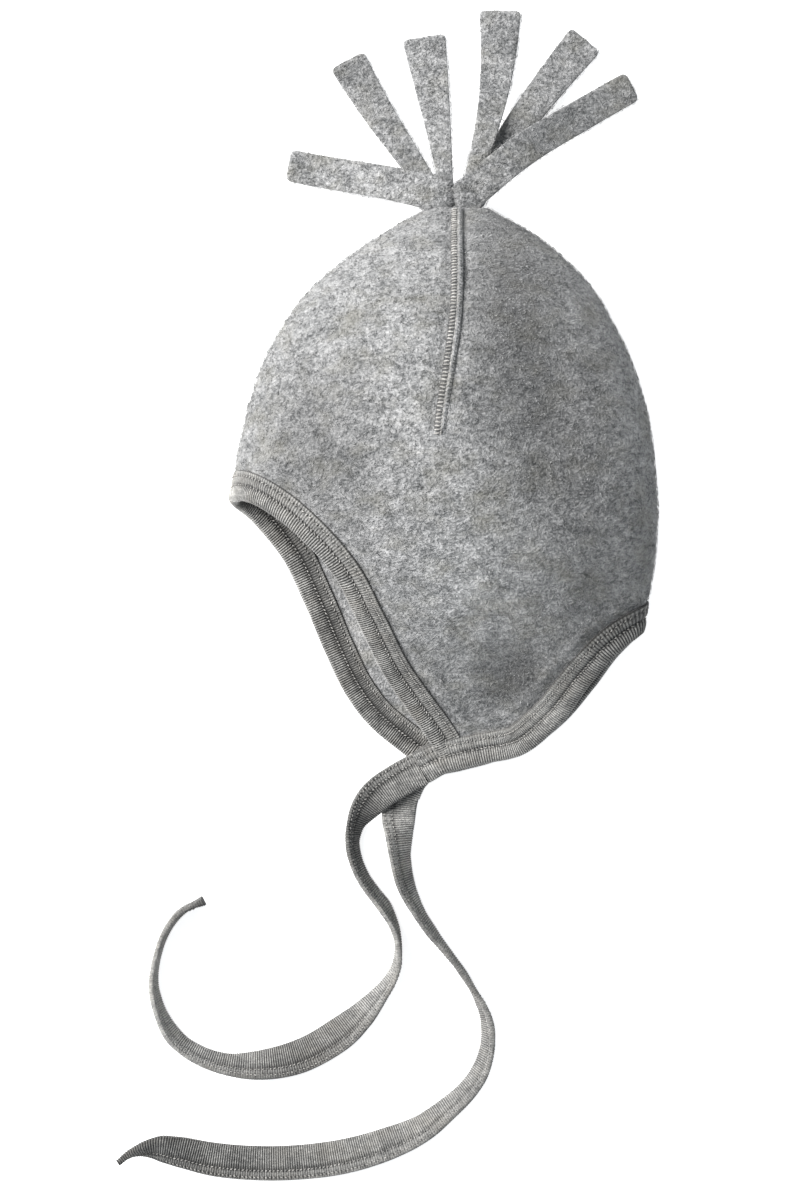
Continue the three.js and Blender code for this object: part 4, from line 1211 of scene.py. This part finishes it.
@dataclass(frozen=True)
class Tuft:
    """Half of the tuft: a gathered head and three strips of fleece."""

    strips: tuple[Strip, ...]
    middle: tuple[float, float, float]
    radii: tuple[float, float, float]
    thick: float = 0.0024
    steps: int = 110
    seed: int = 41

    def strip(self, strip: Strip, seed: int) -> Shape:
        """A strip as a closed body.

        Its heading turns evenly from root to tip, its height falls smoothly to the floor with a
        hump near its root, and its section is a flat oblong with round edges. Its corners are
        cut round by a quarter circle in the last few millimetres.

        Args:
            strip: The strip's sizes.
            seed: Which lattice of noise ripples it.

        Returns:
            The shape.
        """
        share = np.linspace(0, 1, self.steps)
        heading = np.radians(strip.heading + strip.bend * (share - 0.5) * 2)
        ahead = np.stack([np.cos(heading), np.sin(heading), np.zeros(self.steps)], -1)
        steps = (ahead[1:] + ahead[:-1]) / 2 * strip.length / (self.steps - 1)
        middle = np.array(strip.root) + np.concatenate([np.zeros((1, 3)), np.cumsum(steps, axis=0)])
        lean = np.radians(strip.lean * share)[:, None]
        right = np.cross(ahead, (0, 0, 1))
        across = right * np.cos(lean) + np.array((0, 0, 1)) * np.sin(lean)
        out = -right * np.sin(lean) + np.array((0, 0, 1)) * np.cos(lean)
        width = strip.root_width + (strip.width - strip.root_width) * share
        left = strip.length * (1 - share)
        corner = 0.0028
        cut = corner - np.sqrt(np.maximum(corner**2 - np.maximum(corner - left, 0) ** 2, 0))
        width = width - 2 * cut * 0.8
        line = strip.root[2] + (self.thick / 2 - strip.root[2]) * ease(share)
        hump = strip.hump * np.sin(np.pi * np.minimum(1, share * 1.4)) ** 2
        half = (width * np.abs(across[:, 2]) + self.thick * np.abs(out[:, 2])) / 2
        middle[:, 2] = np.maximum(line + hump, half + 0.0002)
        angle = np.linspace(0, 2 * np.pi, 36, endpoint=False)
        place = np.sign(np.cos(angle)) * np.abs(np.cos(angle)) ** 0.35
        high = np.sign(np.sin(angle)) * np.abs(np.sin(angle)) ** 0.45
        end = np.sqrt(np.clip(1 - (1 - np.minimum(left / 0.0012, 1)) ** 2, 0.02, 1))
        ring = middle[:, None] + across[:, None] * (place * width[:, None] / 2)[..., None]
        # The strip is cupped a little, this way and that along it.
        cup = 0.0006 * np.sin(share * 7 + seed)[:, None] * (place**2 - 0.4)
        ring = ring + out[:, None] * (high * self.thick * end[:, None] / 2 + cup)[..., None]
        ripple = 0.00035 * soft_noise(ring, 0.008, seed) + 0.00015 * soft_noise(ring, 0.003, seed + 1)
        ring = ring + out[:, None] * ripple[..., None]
        tone = np.full(ring.shape[:2], strip.tone)
        return Shape.of_grid(above_floor(ring, FLOOR_GAP), tone).outward()

    def head(self) -> Shape:
        """The gathered head that the strips spread from: a flat oval cushion with faint pleats.

        A ring's radius goes with the sine of its latitude, and the pleats with its longitude.
        """
        latitude = np.linspace(0.04, np.pi - 0.04, 30)[:, None]
        angle = np.linspace(0, 2 * np.pi, 72, endpoint=False)
        pleat = 1 + 0.03 * np.sin(angle * 7 + self.seed)
        x = self.middle[0] + self.radii[0] * np.sin(latitude) * np.cos(angle) * pleat
        y = self.middle[1] + self.radii[1] * np.sin(latitude) * np.sin(angle) * pleat
        z = np.broadcast_to(self.middle[2] + self.radii[2] * np.cos(latitude), x.shape)
        ring = np.stack([x, y, z], -1)
        return Shape.of_grid(ring, np.full(ring.shape[:2], 0.46)).outward()

    def shape(self) -> Shape:
        """The head and its strips."""
        strips = [self.strip(strip, self.seed + 3 * i) for i, strip in enumerate(self.strips)]
        return Shape.joined([self.head(), *strips])

    def nap(self, count: int) -> Shape:
        """Short fibres over the upper faces and edges of the strips."""
        body = self.shape()
        quads = np.concatenate([face for face in body.faces if face.shape[1] == 4])
        return nap_over(body.vertices[quads], count, -0.2, self.seed)


@dataclass(frozen=True)
class DartSeam:
    """The raised seam of the dart: a welt with a ladder of thread on one half."""

    form: HatForm
    side: Side
    width: float = 0.0056
    high: float = 0.0014
    spacing: float = 0.0002
    pitch: float = 0.00165

    def stations(self) -> Stations:
        """Stations from the lower end up to the crown."""
        x, rise = (DART if self.side is Side.NEAR else np.vstack([DART[:-1], FAR_DART_END])).T
        rows = np.column_stack([np.full(len(x), self.side.value), rise, x])
        return self.form.edge_stations(rows, 360, 1, lambda around: np.full(len(around), self.spacing))

    def directions(self, stations: Stations) -> tuple[Array, Array, Array]:
        """The middle of the seam on the fleece, the way out of it and the way across it."""
        out = self.form.frame_at(stations.places)[2]
        across = unit(np.cross(stations.ahead, out)) * self.side.value
        return self.form.surface(stations.places), out, across

    def shape(self) -> Shape:
        """The welt: a low round ridge, with a pit at each needle hole on its back half.

        Returns:
            The shape.
        """
        stations = self.stations()
        middle, out, across = self.directions(stations)
        place, high = np.array([
            (-1, -0.4), (-0.92, 0.25), (-0.8, 0.55), (-0.6, 0.68), (-0.4, 0.72), (-0.2, 0.70),
            (-0.05, 0.66), (0.1, 0.86), (0.25, 1.0), (0.4, 1.05), (0.52, 0.98), (0.64, 0.86),
            (0.76, 0.72), (0.88, 0.5), (0.96, 0.2), (1, -0.4),
        ]).T
        taper = ease(stations.run / 0.004) * 0.7 + 0.3
        hole = np.maximum(0, np.cos(2 * np.pi * stations.run / self.pitch))[:, None] ** 3
        pit = hole * bell(place - 0.66, 0.14)
        rise = high * self.high * taper[:, None] - 0.0006 * pit * taper[:, None]
        aside = across[:, None] * (place * self.width / 2)[:, None]
        base = middle[:, None] + aside * taper[:, None, None]
        upper = base + out[:, None] * (rise + 0.0001)[..., None]
        lower = base[:, -2:0:-1] - out[:, None] * 0.0006
        ring = above_floor(np.concatenate([upper, lower], 1), FLOOR_GAP)
        # The tone paints shade into the needle pits, the creases along both edges and down the middle, and
        # the front half under the ladder of thread.
        crease_shade = bell(np.abs(place) - 1, 0.12) + 0.5 * bell(place + 0.02, 0.06)
        bed_shade = ease((0.1 - place) / 0.1)
        tone = 0.46 - 0.5 * pit - 0.28 * crease_shade - 0.3 * bed_shade
        tone = np.concatenate([tone, np.full((len(ring), len(place) - 2), 0.4)], 1)
        return Shape.of_grid(ring, tone).outward()

    def stitches(self) -> Shape:
        """The ladder of thread over the front half and the chain beside it."""
        stations = self.stations()
        middle, out, across = self.directions(stations)
        count = int(stations.run[-1] / self.pitch)
        pick = np.linspace(4, len(middle) - 6, count).astype(int)
        rng = np.random.default_rng(23)
        spot, up, aside, ahead = middle[pick], out[pick], across[pick], stations.ahead[pick]
        rungs = spindles(
            above_floor(spot - aside * 0.38 * self.width / 2 + up * self.high * 0.8, THREAD_GAP),
            unit(aside + ahead * rng.uniform(-0.1, 0.3, (count, 1))), up,
            np.full(count, 0.0017), np.full(count, 0.00040), rng.uniform(0.35, 0.65, count),
            sides=6, rings=3, arch=0.22,
        )
        count = int(count * 1.6)
        pick = np.linspace(4, len(middle) - 6, count).astype(int)
        spot, up, aside, ahead = middle[pick], out[pick], across[pick], stations.ahead[pick]
        chain = spindles(
            above_floor(spot + aside * 0.1 * self.width + up * self.high * 0.86, THREAD_GAP),
            unit(ahead + aside * 0.35), up,
            np.full(count, 0.0007), np.full(count, 0.00026), rng.uniform(0.25, 0.5, count),
            sides=6, rings=3, arch=0.2,
        )
        return Shape.joined([rungs, chain])


class Studio:
    """The camera, the floor and the light."""

    @staticmethod
    def camera() -> None:
        """A camera straight above the hat."""
        data = bpy.data.cameras.new("camera")
        data.lens = 85.0
        data.sensor_width = 36.0
        data.clip_start = 0.01
        data.clip_end = 20.0
        camera = bpy.data.objects.new("camera", data)
        camera.location = (-0.02115, -0.0495, 1.275)
        bpy.context.scene.collection.objects.link(camera)
        bpy.context.scene.camera = camera

    @staticmethod
    def floor() -> None:
        """A wide pale floor."""
        corners = np.array([(-4, -4, 0), (4, -4, 0), (4, 4, 0), (-4, 4, 0)], float)
        material = bpy.data.materials.new("pale_floor")
        material.use_nodes = True
        shader = material.node_tree.nodes["Principled BSDF"]
        shader.inputs["Base Color"].default_value = (0.93, 0.93, 0.93, 1)
        shader.inputs["Roughness"].default_value = 0.9
        shader.inputs["Specular IOR Level"].default_value = 0.1
        shader.inputs["Emission Color"].default_value = (1, 1, 1, 1)
        seen = material.node_tree.nodes.new("ShaderNodeLightPath")
        glow = material.node_tree.nodes.new("ShaderNodeMapRange")
        glow.inputs["To Min"].default_value = 0.2
        glow.inputs["To Max"].default_value = 0.75
        material.node_tree.links.new(seen.outputs["Is Camera Ray"], glow.inputs["Value"])
        material.node_tree.links.new(glow.outputs["Result"], shader.inputs["Emission Strength"])
        shape = Shape(corners, [np.array([[0, 1, 2, 3]])], np.full(4, 0.5))
        shape.to_object("floor", material)

    @staticmethod
    def lights() -> None:
        """A broad key light from the upper left and an even pale surround."""
        scene = bpy.context.scene
        world = bpy.data.worlds.new("surround")
        world.use_nodes = True
        background = world.node_tree.nodes["Background"]
        background.inputs["Color"].default_value = (0.90, 0.955, 1.0, 1)
        background.inputs["Strength"].default_value = 0.42
        scene.world = world
        scene.view_settings.view_transform = "Standard"
        key = bpy.data.lights.new("key", "AREA")
        key.shape = "RECTANGLE"
        key.size, key.size_y = 0.9, 1.2
        key.energy = 64.0
        key.color = (1.0, 0.985, 0.97)
        lamp = bpy.data.objects.new("key", key)
        lamp.location = (-1.15, 0.5, 1.2)
        lamp.rotation_euler = (-lamp.location).to_track_quat("-Z", "Y").to_euler()
        scene.collection.objects.link(lamp)


def place(piece: bpy.types.Object, slot: str, *nodes: str) -> bpy.types.Object:
    """Puts a piece on the hat's body, hides the nodes that it replaces and logs its faces.

    Args:
        piece: The new piece.
        slot: Not used.
        nodes: The nodes of the solid model that it replaces.

    Returns:
        The piece.
    """
    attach(piece, "root")
    if nodes:
        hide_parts(*nodes)
    LOG.info("%s: %d faces", piece.name, len(piece.data.polygons))
    return piece


def main() -> None:
    """Builds the camera, the ties, the hat and what it lies on, in that order."""
    logging.basicConfig(level=logging.INFO, format="%(name)s %(message)s")
    Studio.camera()
    melange = Finish.melange()
    tape = Cloth("rib_knit", (0.10, 0.10, 0.098), (0.38, 0.375, 0.36), (0.24, 0.225, 0.20), fibre=1300.0)
    tape = tape.material(melange)
    thread = Cloth("thread", (0.25, 0.245, 0.235), (0.62, 0.60, 0.57), (0.45, 0.43, 0.40)).material(melange)
    wool = Cloth("fleece", (0.083, 0.088, 0.091), (0.55, 0.55, 0.553), (0.24, 0.232, 0.195), relief=0.0009)
    wool = wool.material(melange)

    near_tie = Tie(NEAR_ROUTE, 0.006, 0.62, 1.5, NEAR_TIE_PAINTED_SHADING)
    far_tie = Tie(FAR_ROUTE, 0.022, 0.3, 0.9, FAR_TIE_PAINTED_SHADING, lead=0.005)
    near = place(near_tie.shape().to_object("strap_near", tape), "tape", "tie_near")
    far = place(far_tie.shape().to_object("strap_far", tape), "tape", "tie_far")
    near_thread = place(near_tie.stitches().to_object("strap_near_stitches", thread), "thread")
    far_thread = place(far_tie.stitches().to_object("strap_far_stitches", thread), "thread")
    near_path, far_path = near_tie.path(), far_tie.path()

    form = HatForm()
    fleece = Fleece(form)
    shell = fleece.shape()
    place(shell.to_object("fleece_body", wool), "fleece", "hat_body")
    place(fleece.nap(shell).to_object("fleece_nap", wool), "fleece")

    face = Binding(
        form, FACE_EDGE, 0, -1, width=0.0137, half=0.0026, near_inset=0.0018, shades=FACE_PAINTED_SHADING
    )
    neck = Binding(form, NECK_EDGE, 360, 1, half=0.0029, shades=NECK_PAINTED_SHADING)
    place(face.shape().to_object("face_edge_tape", tape), "tape", "face_binding")
    place(face.stitches().to_object("face_edge_stitches", thread), "thread")
    place(neck.shape().to_object("neck_edge_tape", tape), "tape", "neck_binding")
    place(neck.stitches().to_object("neck_edge_stitches", thread), "thread")

    for side in Side:
        seam = DartSeam(form, side)
        name = f"dart_{side.name.lower()}"
        place(seam.shape().to_object(f"{name}_welt", wool), "thread", f"dart_seam_{side.name.lower()}")
        place(seam.stitches().to_object(f"{name}_thread", thread), "thread")

    front = Tuft(FRONT_STRIPS, (-0.0050, 0.1300, 0.0165), (0.0092, 0.0090, 0.0046), seed=41)
    back = Tuft(BACK_STRIPS, (0.0095, 0.1300, 0.0165), (0.0078, 0.0080, 0.0052), seed=61)
    for name, tuft in (("front", front), ("back", back)):
        place(tuft.shape().to_object(f"strips_{name}", wool), "fleece", f"tuft_{name}")
        place(tuft.nap(3600).to_object(f"strips_{name}_nap", wool), "fleece")

    Studio.floor()
    Studio.lights()


if __name__ == "__main__":
    main()
